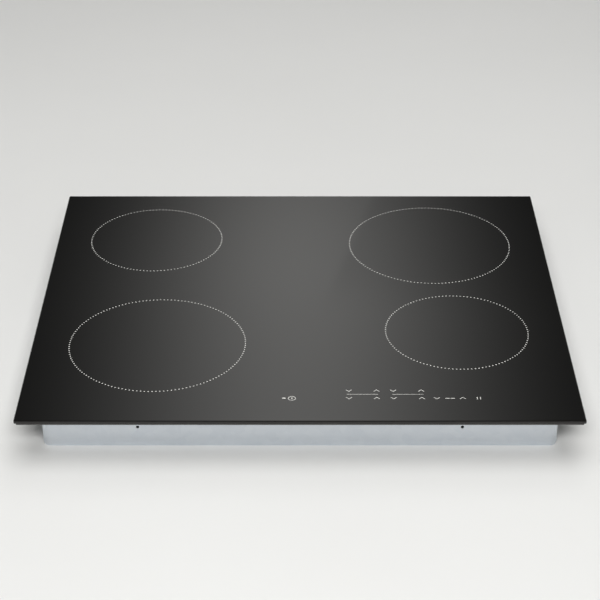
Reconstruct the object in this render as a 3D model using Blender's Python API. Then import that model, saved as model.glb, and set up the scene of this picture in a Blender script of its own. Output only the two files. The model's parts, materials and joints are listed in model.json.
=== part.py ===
"""Built-in induction hob with four cooking zones, as it would come apart on a bench.

Metres, +Z up. The origin is under the middle of the glass, on the flat underside of the base pan, so
the hob stands on Z = 0. The front edge, with the touch controls, faces -Y.

From the top down it holds the glass, the frame that is glued under it, four sprung induction coils on
an aluminium tray, and below that tray the two inverter boards with their heat sinks and blowers.
"""

import math

import bmesh
import bpy
from mathutils import Matrix, Vector

# ---- Driving dimensions ------------------------------------------------------------------------

GLASS_WIDTH = 0.595
GLASS_DEPTH = 0.520
GLASS_THICKNESS = 0.004
GLASS_CORNER = 0.0015
GLASS_EDGE = 0.0007  # ground edge, top and bottom
HEIGHT = 0.052  # underside of the pan to the top of the glass

GAP = 0.0003  # between pieces that touch on the real hob

PAN_WIDTH = 0.548
PAN_FRONT = -0.230
PAN_REAR = 0.238
PAN_SHEET = 0.0008
PAN_CORNER = 0.008
PAN_STEP = 0.0006  # how far the wall steps in, just above the floor
PAN_STEP_LOW = 0.0015
PAN_STEP_HIGH = 0.0027

SEAL_WIDTH = 0.009
SEAL_INSET = 0.002
SEAL_THICKNESS = 0.002
BOND_THICKNESS = 0.0007
FRAME_SHEET = 0.001
FRAME_LEDGE = 0.012
FRAME_FRONT_LEDGE = 0.0048  # narrow, to leave room for the keys
FRAME_DROP = 0.014

LARGE_ZONE_RADIUS = 0.0977
SMALL_ZONE_RADIUS = 0.0800
LARGE_ZONE_X = 0.1584
SMALL_ZONE_X = 0.1762

# name: (centre x, centre y, printed ring's radius, ferrite bars)
ZONES = {
    "front_left": (-LARGE_ZONE_X, -0.1060, LARGE_ZONE_RADIUS, 9),
    "rear_left": (-SMALL_ZONE_X, 0.1408, SMALL_ZONE_RADIUS, 6),
    "rear_right": (LARGE_ZONE_X, 0.1282, LARGE_ZONE_RADIUS, 9),
    "front_right": (SMALL_ZONE_X, -0.0793, SMALL_ZONE_RADIUS, 6),
}
WINDING_INSET = 0.0075  # the winding is this much smaller than the printed ring
WINDING_HOLE = 0.022
WINDING_THICKNESS = 0.004
MICA_THICKNESS = 0.0005
CARRIER_FLOOR = 0.002
CARRIER_LIP = 0.002
FERRITE_THICKNESS = 0.0045
FERRITE_WIDTH = 0.014
FERRITE_HUB = 0.024
SENSOR_RADIUS = 0.0065

COIL_TRAY_TOP = 0.0307
COIL_TRAY_SHEET = 0.0012
COIL_TRAY_WIDTH = 0.536
COIL_TRAY_FRONT = -0.222
COIL_TRAY_REAR = 0.231

SPRING_RADIUS = 0.004
SPRING_WIRE = 0.0005
SPRING_TURNS = 3.5
SPRINGS_PER_COIL = 3

BOARD_THICKNESS = 0.0016
BOARD_BOTTOM = 0.0050
BOARD_WIDTH = 0.234
BOARD_FRONT = -0.070
BOARD_REAR = 0.170
BOARD_MIDDLE_X = 0.137

FAN_Y = -0.130
FAN_PIN_RADIUS = 0.0020
ROTOR_RADIUS = 0.030
ROTOR_BLADES = 13

CONTROL_X = 0.088  # middle of the touch controls
CONTROL_Y = -0.208
CONTROL_LENGTH = 0.244
CONTROL_WIDTH = 0.036
KEY_FRAME_LENGTH = 0.226
KEY_FRAME_WIDTH = 0.031
KEY_RADIUS = 0.003
FRONT_KEYS_Y = -0.2180
REAR_KEYS_Y = -0.2025
POWER_KEY_X = -0.009
PAUSE_KEY_X = 0.189
TIMER_KEYS_X = (0.145, 0.172)
ZONE_KEYS_X = ((0.052, 0.0815), (0.099, 0.129))  # down and up, for the left and the right zones

TERMINAL_X = 0.020
TERMINAL_WIDTH = 0.110
TERMINAL_DEPTH = 0.046
TERMINAL_LOW = 0.006
TERMINAL_HIGH = 0.028
CABLE_RADIUS = 0.0055
CABLE_X = TERMINAL_X + 0.040

CLAMP_HOLE_X = 0.172
CLAMP_HOLE_Z = 0.0243
CLAMP_HOLE_RADIUS = 0.00175
SCREW_Y = 0.150
SCREW_RADIUS = 0.0019
SCREW_HEAD_RADIUS = 0.0036
SCREW_HEAD_HEIGHT = 0.0022

# ---- Heights worked out from them --------------------------------------------------------------

GLASS_BOTTOM = HEIGHT - GLASS_THICKNESS
FRAME_TOP = GLASS_BOTTOM - BOND_THICKNESS - GAP
PAN_TOP = GLASS_BOTTOM - 0.001
MICA_TOP = GLASS_BOTTOM - GAP
WINDING_TOP = MICA_TOP - MICA_THICKNESS - GAP
CARRIER_TOP = WINDING_TOP - WINDING_THICKNESS - GAP  # of its floor
CARRIER_BOTTOM = CARRIER_TOP - CARRIER_FLOOR
FERRITE_TOP = CARRIER_BOTTOM - GAP
SPRING_BOTTOM = COIL_TRAY_TOP + GAP
SPRING_TOP = CARRIER_BOTTOM - GAP
BOARD_TOP = BOARD_BOTTOM + BOARD_THICKNESS
SCREW_Z = FRAME_TOP - 0.5 * FRAME_DROP
BLOWER_TOP = COIL_TRAY_TOP - COIL_TRAY_SHEET - 0.002

# ---- Materials ---------------------------------------------------------------------------------

FINISHES = {
    # name: (red, green, blue, roughness, metallic)
    "black_glass": (0.012, 0.012, 0.012, 0.08, 0.0),
    "grey_foam": (0.080, 0.080, 0.078, 0.95, 0.0),
    "silicone": (0.050, 0.050, 0.050, 0.60, 0.0),
    "zinc_steel": (0.520, 0.550, 0.580, 0.38, 1.0),
    "aluminium": (0.720, 0.720, 0.730, 0.35, 1.0),
    "black_plastic": (0.030, 0.030, 0.032, 0.50, 0.0),
    "copper_litz": (0.560, 0.210, 0.090, 0.42, 1.0),
    "mica": (0.340, 0.290, 0.210, 0.60, 0.0),
    "ferrite": (0.060, 0.060, 0.065, 0.55, 0.0),
    "white_silicone": (0.700, 0.690, 0.660, 0.55, 0.0),
    "spring_steel": (0.600, 0.600, 0.600, 0.28, 1.0),
    "circuit_board": (0.020, 0.120, 0.050, 0.45, 0.0),
    "beige_plastic": (0.520, 0.500, 0.430, 0.50, 0.0),
    "capacitor_case": (0.560, 0.360, 0.040, 0.45, 0.0),
    "screw_steel": (0.300, 0.300, 0.310, 0.35, 1.0),
}


def finish(name):
    """The material of that name, made the first time it is asked for."""
    found = bpy.data.materials.get(name)
    if found:
        return found
    made = bpy.data.materials.new(name)
    made.use_nodes = True
    red, green, blue, roughness, metallic = FINISHES[name]
    shader = made.node_tree.nodes["Principled BSDF"]
    shader.inputs["Base Color"].default_value = (red, green, blue, 1.0)
    shader.inputs["Roughness"].default_value = roughness
    shader.inputs["Metallic"].default_value = metallic
    made.diffuse_color = (red, green, blue, 1.0)
    return made


# ---- Outlines: lists of (x, y) that run anticlockwise ------------------------------------------


def rectangle(low_x, low_y, high_x, high_y):
    return [(low_x, low_y), (high_x, low_y), (high_x, high_y), (low_x, high_y)]


def rounded_rectangle(width, depth, radius, centre=(0.0, 0.0), steps=5):
    """A rectangle with quarter-circle corners of `steps` straight pieces each."""
    points = []
    for corner, (side_x, side_y) in enumerate(((1, 1), (-1, 1), (-1, -1), (1, -1))):
        middle_x = centre[0] + side_x * (width / 2 - radius)
        middle_y = centre[1] + side_y * (depth / 2 - radius)
        for step in range(steps + 1):
            angle = math.radians(90) * (corner + step / steps)
            points.append((middle_x + radius * math.cos(angle), middle_y + radius * math.sin(angle)))
    return points


def circle(radius, centre=(0.0, 0.0), count=24):
    return [
        (centre[0] + radius * math.cos(2 * math.pi * i / count),
         centre[1] + radius * math.sin(2 * math.pi * i / count))
        for i in range(count)
    ]


def slot(length, width, centre, steps=3):
    """An upright slot with round ends, its length along Y."""
    radius = width / 2
    points = []
    for end, start_angle in ((1, 0.0), (-1, math.pi)):
        for step in range(steps + 1):
            angle = start_angle + math.pi * step / steps
            points.append((
                centre[0] + radius * math.cos(angle),
                centre[1] + end * (length / 2 - radius) + radius * math.sin(angle),
            ))
    return points


# ---- Solids ------------------------------------------------------------------------------------


def add_object(name, mesh_maker, finish_name):
    """Makes the object whose closed mesh bmesh is in mesh_maker, with its faces pointing out."""
    bmesh.ops.recalc_face_normals(mesh_maker, faces=mesh_maker.faces)
    mesh = bpy.data.meshes.new(name)
    mesh_maker.to_mesh(mesh)
    mesh_maker.free()
    mesh.materials.append(finish(finish_name))
    made = bpy.data.objects.new(name, mesh)
    bpy.context.scene.collection.objects.link(made)
    return made


def shade_round(made, angle=35):
    """Smooth shading, apart from edges sharper than the angle in degrees."""
    made.data.shade_smooth()
    made.data.set_sharp_from_angle(angle=math.radians(angle))
    return made


def lofted(name, sections, finish_name, closed_ring=False):
    """Skins a list of (outline, z), all with as many points. The ends are capped, or joined in a ring."""
    maker = bmesh.new()
    rings = [[maker.verts.new((x, y, z)) for x, y in outline] for outline, z in sections]
    pairs = list(zip(rings, rings[1:]))
    if closed_ring:
        pairs.append((rings[-1], rings[0]))
    else:
        maker.faces.new(rings[0])
        maker.faces.new(rings[-1])
    for lower, upper in pairs:
        for i in range(len(lower)):
            after = (i + 1) % len(lower)
            maker.faces.new((lower[i], lower[after], upper[after], upper[i]))
    return add_object(name, maker, finish_name)


def prism(name, outline, low, high, finish_name):
    """The outline drawn in X and Y, raised from z = low to z = high."""
    return lofted(name, [(outline, low), (outline, high)], finish_name)


def plate(name, outline, holes, low, high, finish_name):
    """A flat sheet with holes right through it."""
    drawing = bpy.data.curves.new(name, "CURVE")
    drawing.dimensions = "2D"
    drawing.fill_mode = "BOTH"
    drawing.extrude = (high - low) / 2
    for points in [outline, *holes]:
        line = drawing.splines.new("POLY")
        line.points.add(len(points) - 1)
        for point, (x, y) in zip(line.points, points):
            point.co = (x, y, 0.0, 1.0)
        line.use_cyclic_u = True
    shape = bpy.data.objects.new(name, drawing)
    bpy.context.scene.collection.objects.link(shape)
    bpy.context.view_layer.update()
    graph = bpy.context.evaluated_depsgraph_get()
    maker = bmesh.new()
    maker.from_mesh(shape.evaluated_get(graph).to_mesh())
    bmesh.ops.remove_doubles(maker, verts=maker.verts, dist=1e-6)
    bmesh.ops.translate(maker, vec=(0.0, 0.0, (low + high) / 2), verts=maker.verts)
    bpy.data.objects.remove(shape)
    bpy.data.curves.remove(drawing)
    return add_object(name, maker, finish_name)


def turned(name, profile, centre, finish_name, segments=32):
    """A closed (radius, z) profile turned about the vertical line through centre."""
    maker = bmesh.new()
    columns = []
    for radius, z in profile:
        if radius == 0.0:
            columns.append([maker.verts.new((centre[0], centre[1], z))] * segments)
            continue
        columns.append([maker.verts.new((x, y, z)) for x, y in circle(radius, centre, segments)])
    for i, column in enumerate(columns):
        neighbour = columns[(i + 1) % len(columns)]
        for j in range(segments):
            after = (j + 1) % segments
            corners = dict.fromkeys((column[j], column[after], neighbour[after], neighbour[j]))
            if len(corners) > 2:
                maker.faces.new(list(corners))
    return shade_round(add_object(name, maker, finish_name))


def block(name, low, high, finish_name, bevel=0.0):
    """A box from its lowest to its highest corner."""
    made = prism(name, rectangle(low[0], low[1], high[0], high[1]), low[2], high[2], finish_name)
    if bevel:
        rounding = made.modifiers.new("rounded edges", "BEVEL")
        rounding.width = bevel
        rounding.segments = 1
    return made


def one_of(pieces, name):
    """Several separate solids in one object, as a tool for a Boolean."""
    maker = bmesh.new()
    for piece in pieces:
        world = piece.data.copy()
        world.transform(piece.matrix_basis)
        maker.from_mesh(world)
        bpy.data.objects.remove(piece)
    return add_object(name, maker, "black_plastic")


def use_tool(target, tool, operation):
    """Cuts the tool out of the target or joins it on, and leaves the tool out of the render."""
    boolean = target.modifiers.new(f"{operation.lower()} {tool.name}", "BOOLEAN")
    boolean.operation = operation
    boolean.object = tool
    boolean.solver = "EXACT"
    tool.hide_render = True
    tool.display_type = "WIRE"
    return target


def cut(target, tool):
    return use_tool(target, tool, "DIFFERENCE")


def join(target, tool):
    return use_tool(target, tool, "UNION")


def rod(name, radius, low, high, axis, place, finish_name="black_plastic", segments=16):
    """A round bar along X or Y, from low to high on that axis, through the point `place`."""
    maker = bmesh.new()
    turn = Matrix.Rotation(math.radians(90), 4, "Y") if axis == "X" else Matrix.Rotation(math.radians(-90), 4, "X")
    along = Vector((1, 0, 0)) if axis == "X" else Vector((0, 1, 0))
    across = Vector(place) - along * along.dot(Vector(place))
    middle = across + along * (low + high) / 2
    bmesh.ops.create_cone(
        maker, cap_ends=True, segments=segments, radius1=radius, radius2=radius, depth=high - low,
        matrix=Matrix.Translation(middle) @ turn,
    )
    return add_object(name, maker, finish_name)


# ---- The glass and what is fixed under its edge ------------------------------------------------


def glass_outline(inset):
    return rounded_rectangle(
        GLASS_WIDTH - 2 * inset, GLASS_DEPTH - 2 * inset, max(GLASS_CORNER - inset, 0.001)
    )


def pan_outline(inset, front_inset=None):
    """The pan's outline from above, moved in by `inset`, and by `front_inset` at the front if that is given."""
    front = PAN_FRONT + (inset if front_inset is None else front_inset)
    rear = PAN_REAR - inset
    return rounded_rectangle(
        PAN_WIDTH - 2 * inset, rear - front, max(PAN_CORNER - inset, 0.001), (0.0, (front + rear) / 2)
    )


def make_glass():
    top, bottom = HEIGHT, GLASS_BOTTOM
    lofted("glass_top", [
        (glass_outline(GLASS_EDGE), bottom),
        (glass_outline(0.0), bottom + GLASS_EDGE),
        (glass_outline(0.0), top - GLASS_EDGE),
        (glass_outline(GLASS_EDGE), top),
    ], "black_glass")


def make_rim():
    """The foam seal that lies on the worktop, the silicone bond, and the steel frame glued under the glass."""
    outer_inset = SEAL_INSET
    seal_top = GLASS_BOTTOM - GAP
    plate("rim_seal", glass_outline(outer_inset), [glass_outline(outer_inset + SEAL_WIDTH)],
          seal_top - SEAL_THICKNESS, seal_top, "grey_foam")

    leg = PAN_SHEET + GAP  # the frame's upright leg stands just inside the pan's wall
    ledge = pan_outline(leg + FRAME_LEDGE, leg + FRAME_FRONT_LEDGE)
    plate("glass_bond", pan_outline(leg), [pan_outline(leg + 0.8 * FRAME_LEDGE, leg + 0.8 * FRAME_FRONT_LEDGE)],
          FRAME_TOP + GAP, GLASS_BOTTOM - GAP, "silicone")

    frame = lofted("mounting_frame", [
        (pan_outline(leg), FRAME_TOP),
        (ledge, FRAME_TOP),
        (ledge, FRAME_TOP - FRAME_SHEET),
        (pan_outline(leg + FRAME_SHEET), FRAME_TOP - FRAME_SHEET),
        (pan_outline(leg + FRAME_SHEET), FRAME_TOP - FRAME_DROP),
        (pan_outline(leg), FRAME_TOP - FRAME_DROP),
    ], "zinc_steel", closed_ring=True)
    cut(frame, side_screw_holes("frame_screw_holes"))


def side_screw_places():
    return {
        f"side_screw_{side}_{end}": (sign_x, sign_y * SCREW_Y)
        for side, sign_x in (("left", -1), ("right", 1))
        for end, sign_y in (("front", -1), ("rear", 1))
    }


def side_screw_holes(name):
    holes = []
    for sign_x, y in side_screw_places().values():
        near, far = sorted((sign_x * (PAN_WIDTH / 2 - 0.012), sign_x * (PAN_WIDTH / 2 + 0.005)))
        holes.append(rod("hole", SCREW_RADIUS + GAP, near, far, "X", (0.0, y, SCREW_Z)))
    return one_of(holes, name)


def make_side_screws():
    """Pan-head screws through the pan's side walls into the frame."""
    outer = PAN_WIDTH / 2 + GAP
    for name, (sign_x, y) in side_screw_places().items():
        screw = turned(name, [
            (0.0, -0.006),
            (SCREW_RADIUS, -0.006),
            (SCREW_RADIUS, 0.0),
            (SCREW_HEAD_RADIUS, 0.0),
            (SCREW_HEAD_RADIUS, 0.4 * SCREW_HEAD_HEIGHT),
            (0.6 * SCREW_HEAD_RADIUS, SCREW_HEAD_HEIGHT),
            (0.0, SCREW_HEAD_HEIGHT),
        ], (0.0, 0.0), "screw_steel", segments=14)
        screw.rotation_euler = (0.0, sign_x * math.radians(90), 0.0)
        screw.location = (sign_x * outer, y, SCREW_Z)


# ---- The base pan ------------------------------------------------------------------------------

INLET_SLOT = (0.030, 0.0035)
INLET_PITCH = 0.0080
INLET_COUNT = 7
OUTLET_SLOT_HEIGHT = 0.016
OUTLET_SLOT_WIDTH = 0.0035
OUTLET_PITCH = 0.0090
OUTLET_COUNT = 12
OUTLET_Z = 0.018


def spread(count, pitch):
    """Evenly spaced places about zero."""
    return [(i - (count - 1) / 2) * pitch for i in range(count)]


def inlet_slots():
    """Slots in the floor under each blower."""
    slots = []
    for side in (-1, 1):
        for x in spread(INLET_COUNT, INLET_PITCH):
            outline = slot(*INLET_SLOT, (side * BOARD_MIDDLE_X + x, FAN_Y))
            slots.append(prism("inlet", outline, -0.002, 0.003, "black_plastic"))
    return one_of(slots, "inlet_slots")


def outlet_slots():
    """Upright slots in the rear wall, behind each heat sink."""
    slots = []
    for side in (-1, 1):
        for x in spread(OUTLET_COUNT, OUTLET_PITCH):
            outline = slot(OUTLET_SLOT_HEIGHT, OUTLET_SLOT_WIDTH, (0.0, 0.0))
            outlet = prism("outlet", outline, -0.003, 0.003, "black_plastic")
            outlet.matrix_basis = (
                Matrix.Translation((side * BOARD_MIDDLE_X + 0.030 + x, PAN_REAR, OUTLET_Z))
                @ Matrix.Rotation(math.radians(90), 4, "X")
            )
            slots.append(outlet)
    return one_of(slots, "outlet_slots")


def clamp_holes():
    """Holes in the front wall for the screws of the worktop clamps."""
    holes = []
    for x in (-CLAMP_HOLE_X, CLAMP_HOLE_X):
        holes.append(rod("hole", CLAMP_HOLE_RADIUS, PAN_FRONT - 0.003, PAN_FRONT + 0.003, "Y",
                         (x, 0.0, CLAMP_HOLE_Z), segments=12))
    return one_of(holes, "clamp_holes")


def make_base_pan():
    half_window = TERMINAL_WIDTH / 2
    pan = lofted("base_pan", [
        (pan_outline(PAN_STEP + 0.0008), 0.0),
        (pan_outline(PAN_STEP), 0.0006),
        (pan_outline(PAN_STEP), PAN_STEP_LOW),
        (pan_outline(0.0), PAN_STEP_HIGH),
        (pan_outline(0.0), PAN_TOP),
        (pan_outline(PAN_SHEET), PAN_TOP),
        (pan_outline(PAN_SHEET), PAN_STEP_HIGH + 0.0003),
        (pan_outline(PAN_SHEET + PAN_STEP), PAN_STEP_LOW + 0.0003),
        (pan_outline(PAN_SHEET + PAN_STEP), PAN_SHEET),
    ], "zinc_steel")
    cut(pan, side_screw_holes("pan_screw_holes"))
    cut(pan, clamp_holes())
    cut(pan, inlet_slots())
    cut(pan, outlet_slots())
    cut(pan, block("terminal_window", (TERMINAL_X - half_window, PAN_REAR - 0.004, TERMINAL_LOW),
                   (TERMINAL_X + half_window, PAN_REAR + 0.004, TERMINAL_HIGH), "black_plastic"))


# ---- The coils, which float on springs ---------------------------------------------------------


def winding_radius(ring_radius):
    return ring_radius - WINDING_INSET


def make_winding(name, centre, ring_radius):
    outer, inner = winding_radius(ring_radius), WINDING_HOLE
    turned(f"winding_{name}", [
        (inner, WINDING_TOP - WINDING_THICKNESS),
        (outer, WINDING_TOP - WINDING_THICKNESS),
        (outer, WINDING_TOP),
        (inner, WINDING_TOP),
    ], centre, "copper_litz", segments=36)


def make_carrier(name, centre, ring_radius):
    """The plastic plate that the winding lies on, with a lip round it and a hub for the sensor."""
    outer = winding_radius(ring_radius) + GAP
    hub_outer = WINDING_HOLE - GAP
    lip_top = WINDING_TOP - 0.001
    turned(f"coil_carrier_{name}", [
        (SENSOR_RADIUS + GAP, CARRIER_BOTTOM),
        (outer + CARRIER_LIP, CARRIER_BOTTOM),
        (outer + CARRIER_LIP, lip_top),
        (outer, lip_top),
        (outer, CARRIER_TOP),
        (hub_outer, CARRIER_TOP),
        (hub_outer, lip_top),
        (hub_outer - CARRIER_LIP, lip_top),
        (hub_outer - CARRIER_LIP, CARRIER_TOP),
        (SENSOR_RADIUS + GAP, CARRIER_TOP),
    ], centre, "black_plastic", segments=36)


def make_ferrites(name, centre, ring_radius, bars):
    """Flat ferrite bars that start at a common hub and run out under the winding."""
    reach = winding_radius(ring_radius) - 0.003
    hub = FERRITE_HUB
    half = FERRITE_WIDTH / 2
    outline = []
    for bar in range(bars):
        angle = 2 * math.pi * bar / bars
        spread_at_hub = math.asin(half / hub)
        for radius, side in ((hub, -1), (reach, -1), (reach, 1), (hub, 1)):
            if radius == hub:
                x = hub * math.cos(angle + side * min(spread_at_hub, 0.95 * math.pi / bars))
                y = hub * math.sin(angle + side * min(spread_at_hub, 0.95 * math.pi / bars))
            else:
                x = radius * math.cos(angle) - side * half * math.sin(angle)
                y = radius * math.sin(angle) + side * half * math.cos(angle)
            outline.append((centre[0] + x, centre[1] + y))
    plate(f"ferrites_{name}", outline, [circle(hub - 0.008, centre, 16)],
          FERRITE_TOP - FERRITE_THICKNESS, FERRITE_TOP, "ferrite")


def make_mica(name, centre, ring_radius):
    plate(f"mica_disc_{name}", circle(winding_radius(ring_radius) + 0.002, centre, 36),
          [circle(SENSOR_RADIUS + 0.001, centre, 12)], MICA_TOP - MICA_THICKNESS, MICA_TOP, "mica")


def make_sensor(name, centre):
    """The temperature sensor's silicone boot, which touches the glass in the middle of the coil."""
    turned(f"sensor_{name}", [
        (0.0, FERRITE_TOP - FERRITE_THICKNESS),
        (SENSOR_RADIUS - 0.0015, FERRITE_TOP - FERRITE_THICKNESS),
        (SENSOR_RADIUS - 0.0015, CARRIER_BOTTOM),
        (SENSOR_RADIUS, CARRIER_BOTTOM + 0.0005),
        (SENSOR_RADIUS, WINDING_TOP),
        (SENSOR_RADIUS - 0.002, MICA_TOP),
        (0.0, MICA_TOP),
    ], centre, "white_silicone", segments=16)


def spring_places(centre, ring_radius, bars):
    """Three places between the ferrite bars, a third of a turn apart."""
    radius = 0.60 * winding_radius(ring_radius)
    start = math.pi / bars
    return [
        (centre[0] + radius * math.cos(start + 2 * math.pi * i / SPRINGS_PER_COIL),
         centre[1] + radius * math.sin(start + 2 * math.pi * i / SPRINGS_PER_COIL))
        for i in range(SPRINGS_PER_COIL)
    ]


def make_spring(name, place):
    """A helical compression spring that stands on the coil tray."""
    steps_per_turn = 8
    steps = int(SPRING_TURNS * steps_per_turn)
    low, high = SPRING_BOTTOM + SPRING_WIRE, SPRING_TOP - SPRING_WIRE
    drawing = bpy.data.curves.new(name, "CURVE")
    drawing.dimensions = "3D"
    drawing.bevel_depth = SPRING_WIRE
    drawing.bevel_resolution = 0
    drawing.use_fill_caps = True
    line = drawing.splines.new("POLY")
    line.points.add(steps)
    for i, point in enumerate(line.points):
        angle = 2 * math.pi * i / steps_per_turn
        share = i / steps
        point.co = (
            place[0] + SPRING_RADIUS * math.cos(angle),
            place[1] + SPRING_RADIUS * math.sin(angle),
            low + (high - low) * share,
            1.0,
        )
    drawing.materials.append(finish("spring_steel"))
    made = bpy.data.objects.new(name, drawing)
    bpy.context.scene.collection.objects.link(made)


def make_coils():
    for name, (x, y, ring_radius, bars) in ZONES.items():
        centre = (x, y)
        make_winding(name, centre, ring_radius)
        make_carrier(name, centre, ring_radius)
        make_ferrites(name, centre, ring_radius, bars)
        make_mica(name, centre, ring_radius)
        make_sensor(name, centre)
        for number, place in enumerate(spring_places(centre, ring_radius, bars), start=1):
            make_spring(f"spring_{name}_{number}", place)


def make_coil_tray():
    """The aluminium bridge that carries the coils: a sheet with its sides bent down to the pan's floor."""
    half = COIL_TRAY_WIDTH / 2
    top, sheet = COIL_TRAY_TOP, COIL_TRAY_SHEET
    floor = PAN_SHEET + GAP
    section = [
        (-half, floor), (-half + sheet, floor), (-half + sheet, top - sheet),
        (half - sheet, top - sheet), (half - sheet, floor), (half, floor),
        (half, top), (-half, top),
    ]
    tray = prism("coil_tray", section, -COIL_TRAY_REAR, -COIL_TRAY_FRONT, "aluminium")
    tray.data.transform(Matrix.Rotation(math.radians(90), 4, "X"))
    notch = block("terminal_notch",
                  (TERMINAL_X - TERMINAL_WIDTH / 2 - 0.006, PAN_REAR - TERMINAL_DEPTH - 0.008, top - 0.006),
                  (TERMINAL_X + TERMINAL_WIDTH / 2 + 0.006, COIL_TRAY_REAR + 0.004, top + 0.004), "black_plastic")
    cut(tray, notch)
    openings = []
    for x, y, ring_radius, _bars in ZONES.values():
        openings.append(prism("opening", circle(0.010, (x, y), 16), top - 0.005, top + 0.005, "black_plastic"))
        wire_way = slot(0.030, 0.012, (x - math.copysign(0.30 * ring_radius, x), y))
        openings.append(prism("opening", wire_way, top - 0.005, top + 0.005, "black_plastic"))
    cut(tray, one_of(openings, "coil_tray_openings"))


# ---- Power electronics and blowers -------------------------------------------------------------

SHROUD_BOTTOM = 0.0031
SHROUD_WALL = 0.0015
SHROUD_LEAST = 0.0335
SHROUD_MOST = 0.0440
SHROUD_MOUTH_Y = 0.0420
TONGUE_ANGLE = math.radians(55)
BOARD_TRAY_LOW = 0.0011
BOARD_TRAY_HIGH = 0.0026
HEAT_SINK_WIDTH = 0.056
HEAT_SINK_LENGTH = 0.150
HEAT_SINK_BASE = 0.003
HEAT_SINK_FINS = 11
HEAT_SINK_FIN = 0.0012


def make_board_tray():
    """The moulded tray on the pan's floor, open over the inlets, with ribs that hold the boards up."""
    inlets = [circle(0.029, (side * BOARD_MIDDLE_X, FAN_Y), 24) for side in (-1, 1)]
    outline = rounded_rectangle(0.520, 0.400, 0.006, (0.0, -0.022), steps=2)
    tray = plate("board_tray", outline, inlets, BOARD_TRAY_LOW, BOARD_TRAY_HIGH, "black_plastic")
    ribs = []
    for side in (-1, 1):
        for x in spread(3, 0.105):
            middle = side * BOARD_MIDDLE_X + x
            ribs.append(block("rib", (middle - 0.0015, BOARD_FRONT + 0.006, BOARD_TRAY_LOW + 0.0005),
                              (middle + 0.0015, BOARD_REAR - 0.006, BOARD_BOTTOM - GAP), "black_plastic"))
    join(tray, one_of(ribs, "board_tray_ribs"))


def make_board(side_name, side):
    middle = side * BOARD_MIDDLE_X
    length = BOARD_REAR - BOARD_FRONT
    centre = (middle, (BOARD_FRONT + BOARD_REAR) / 2)
    corners = [
        circle(0.002, (centre[0] + sx * (BOARD_WIDTH / 2 - 0.006), centre[1] + sy * (length / 2 - 0.006)), 8)
        for sx in (-1, 1) for sy in (-1, 1)
    ]
    plate(f"inverter_board_{side_name}", rounded_rectangle(BOARD_WIDTH, length, 0.002, centre, steps=2),
          corners, BOARD_BOTTOM, BOARD_TOP, "circuit_board")


def make_heat_sink(side_name, side):
    """An extruded comb with its fins along Y, in the blower's air stream."""
    base_low = BOARD_TOP + GAP
    base_high = base_low + HEAT_SINK_BASE
    pitch = (HEAT_SINK_WIDTH - HEAT_SINK_FIN) / (HEAT_SINK_FINS - 1)
    comb = []
    for x in reversed(spread(HEAT_SINK_FINS, pitch)):
        right, left = x + HEAT_SINK_FIN / 2, x - HEAT_SINK_FIN / 2
        comb += [(right, base_high), (right, BLOWER_TOP), (left, BLOWER_TOP), (left, base_high)]
    section = [(-HEAT_SINK_WIDTH / 2, base_low), (HEAT_SINK_WIDTH / 2, base_low), *comb[1:-1]]
    sink = prism(f"heat_sink_{side_name}", section, 0.0, HEAT_SINK_LENGTH, "aluminium")
    sink.data.transform(Matrix.Rotation(math.radians(90), 4, "X"))
    sink.location = (side * BOARD_MIDDLE_X + 0.022, BOARD_FRONT + 0.004 + HEAT_SINK_LENGTH, 0.0)


def scroll_outline(centre, inset, mouth_y):
    """A blower's spiral wall, widening anticlockwise from its tongue to a mouth that faces +Y."""
    points = []
    steps = 16
    for step in range(steps + 1):
        share = step / steps
        angle = TONGUE_ANGLE + (2 * math.pi - TONGUE_ANGLE) * share
        radius = SHROUD_LEAST + (SHROUD_MOST - SHROUD_LEAST) * share - inset
        points.append((centre[0] + radius * math.cos(angle), centre[1] + radius * math.sin(angle)))
    tongue_x = SHROUD_LEAST * math.cos(TONGUE_ANGLE) - 0.005
    points.append((centre[0] + SHROUD_MOST - inset, centre[1] + mouth_y))
    points.append((centre[0] + tongue_x + inset, centre[1] + mouth_y))
    return points


def make_shroud(side_name, side):
    """The blower's scroll: open below, where the air comes in, and at its mouth. Its pin carries the rotor."""
    centre = (side * BOARD_MIDDLE_X, FAN_Y)
    shroud = prism(f"fan_shroud_{side_name}", scroll_outline(centre, 0.0, SHROUD_MOUTH_Y),
                   SHROUD_BOTTOM, BLOWER_TOP, "black_plastic")
    hollow = prism(f"fan_hollow_{side_name}", scroll_outline(centre, SHROUD_WALL, SHROUD_MOUTH_Y + 0.004),
                   SHROUD_BOTTOM - 0.002, BLOWER_TOP - SHROUD_WALL, "black_plastic")
    cut(shroud, hollow)
    pin = prism(f"fan_pin_{side_name}", circle(FAN_PIN_RADIUS, centre, 12), 0.0125, BLOWER_TOP - 0.0005,
                "black_plastic")
    join(shroud, pin)


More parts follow.
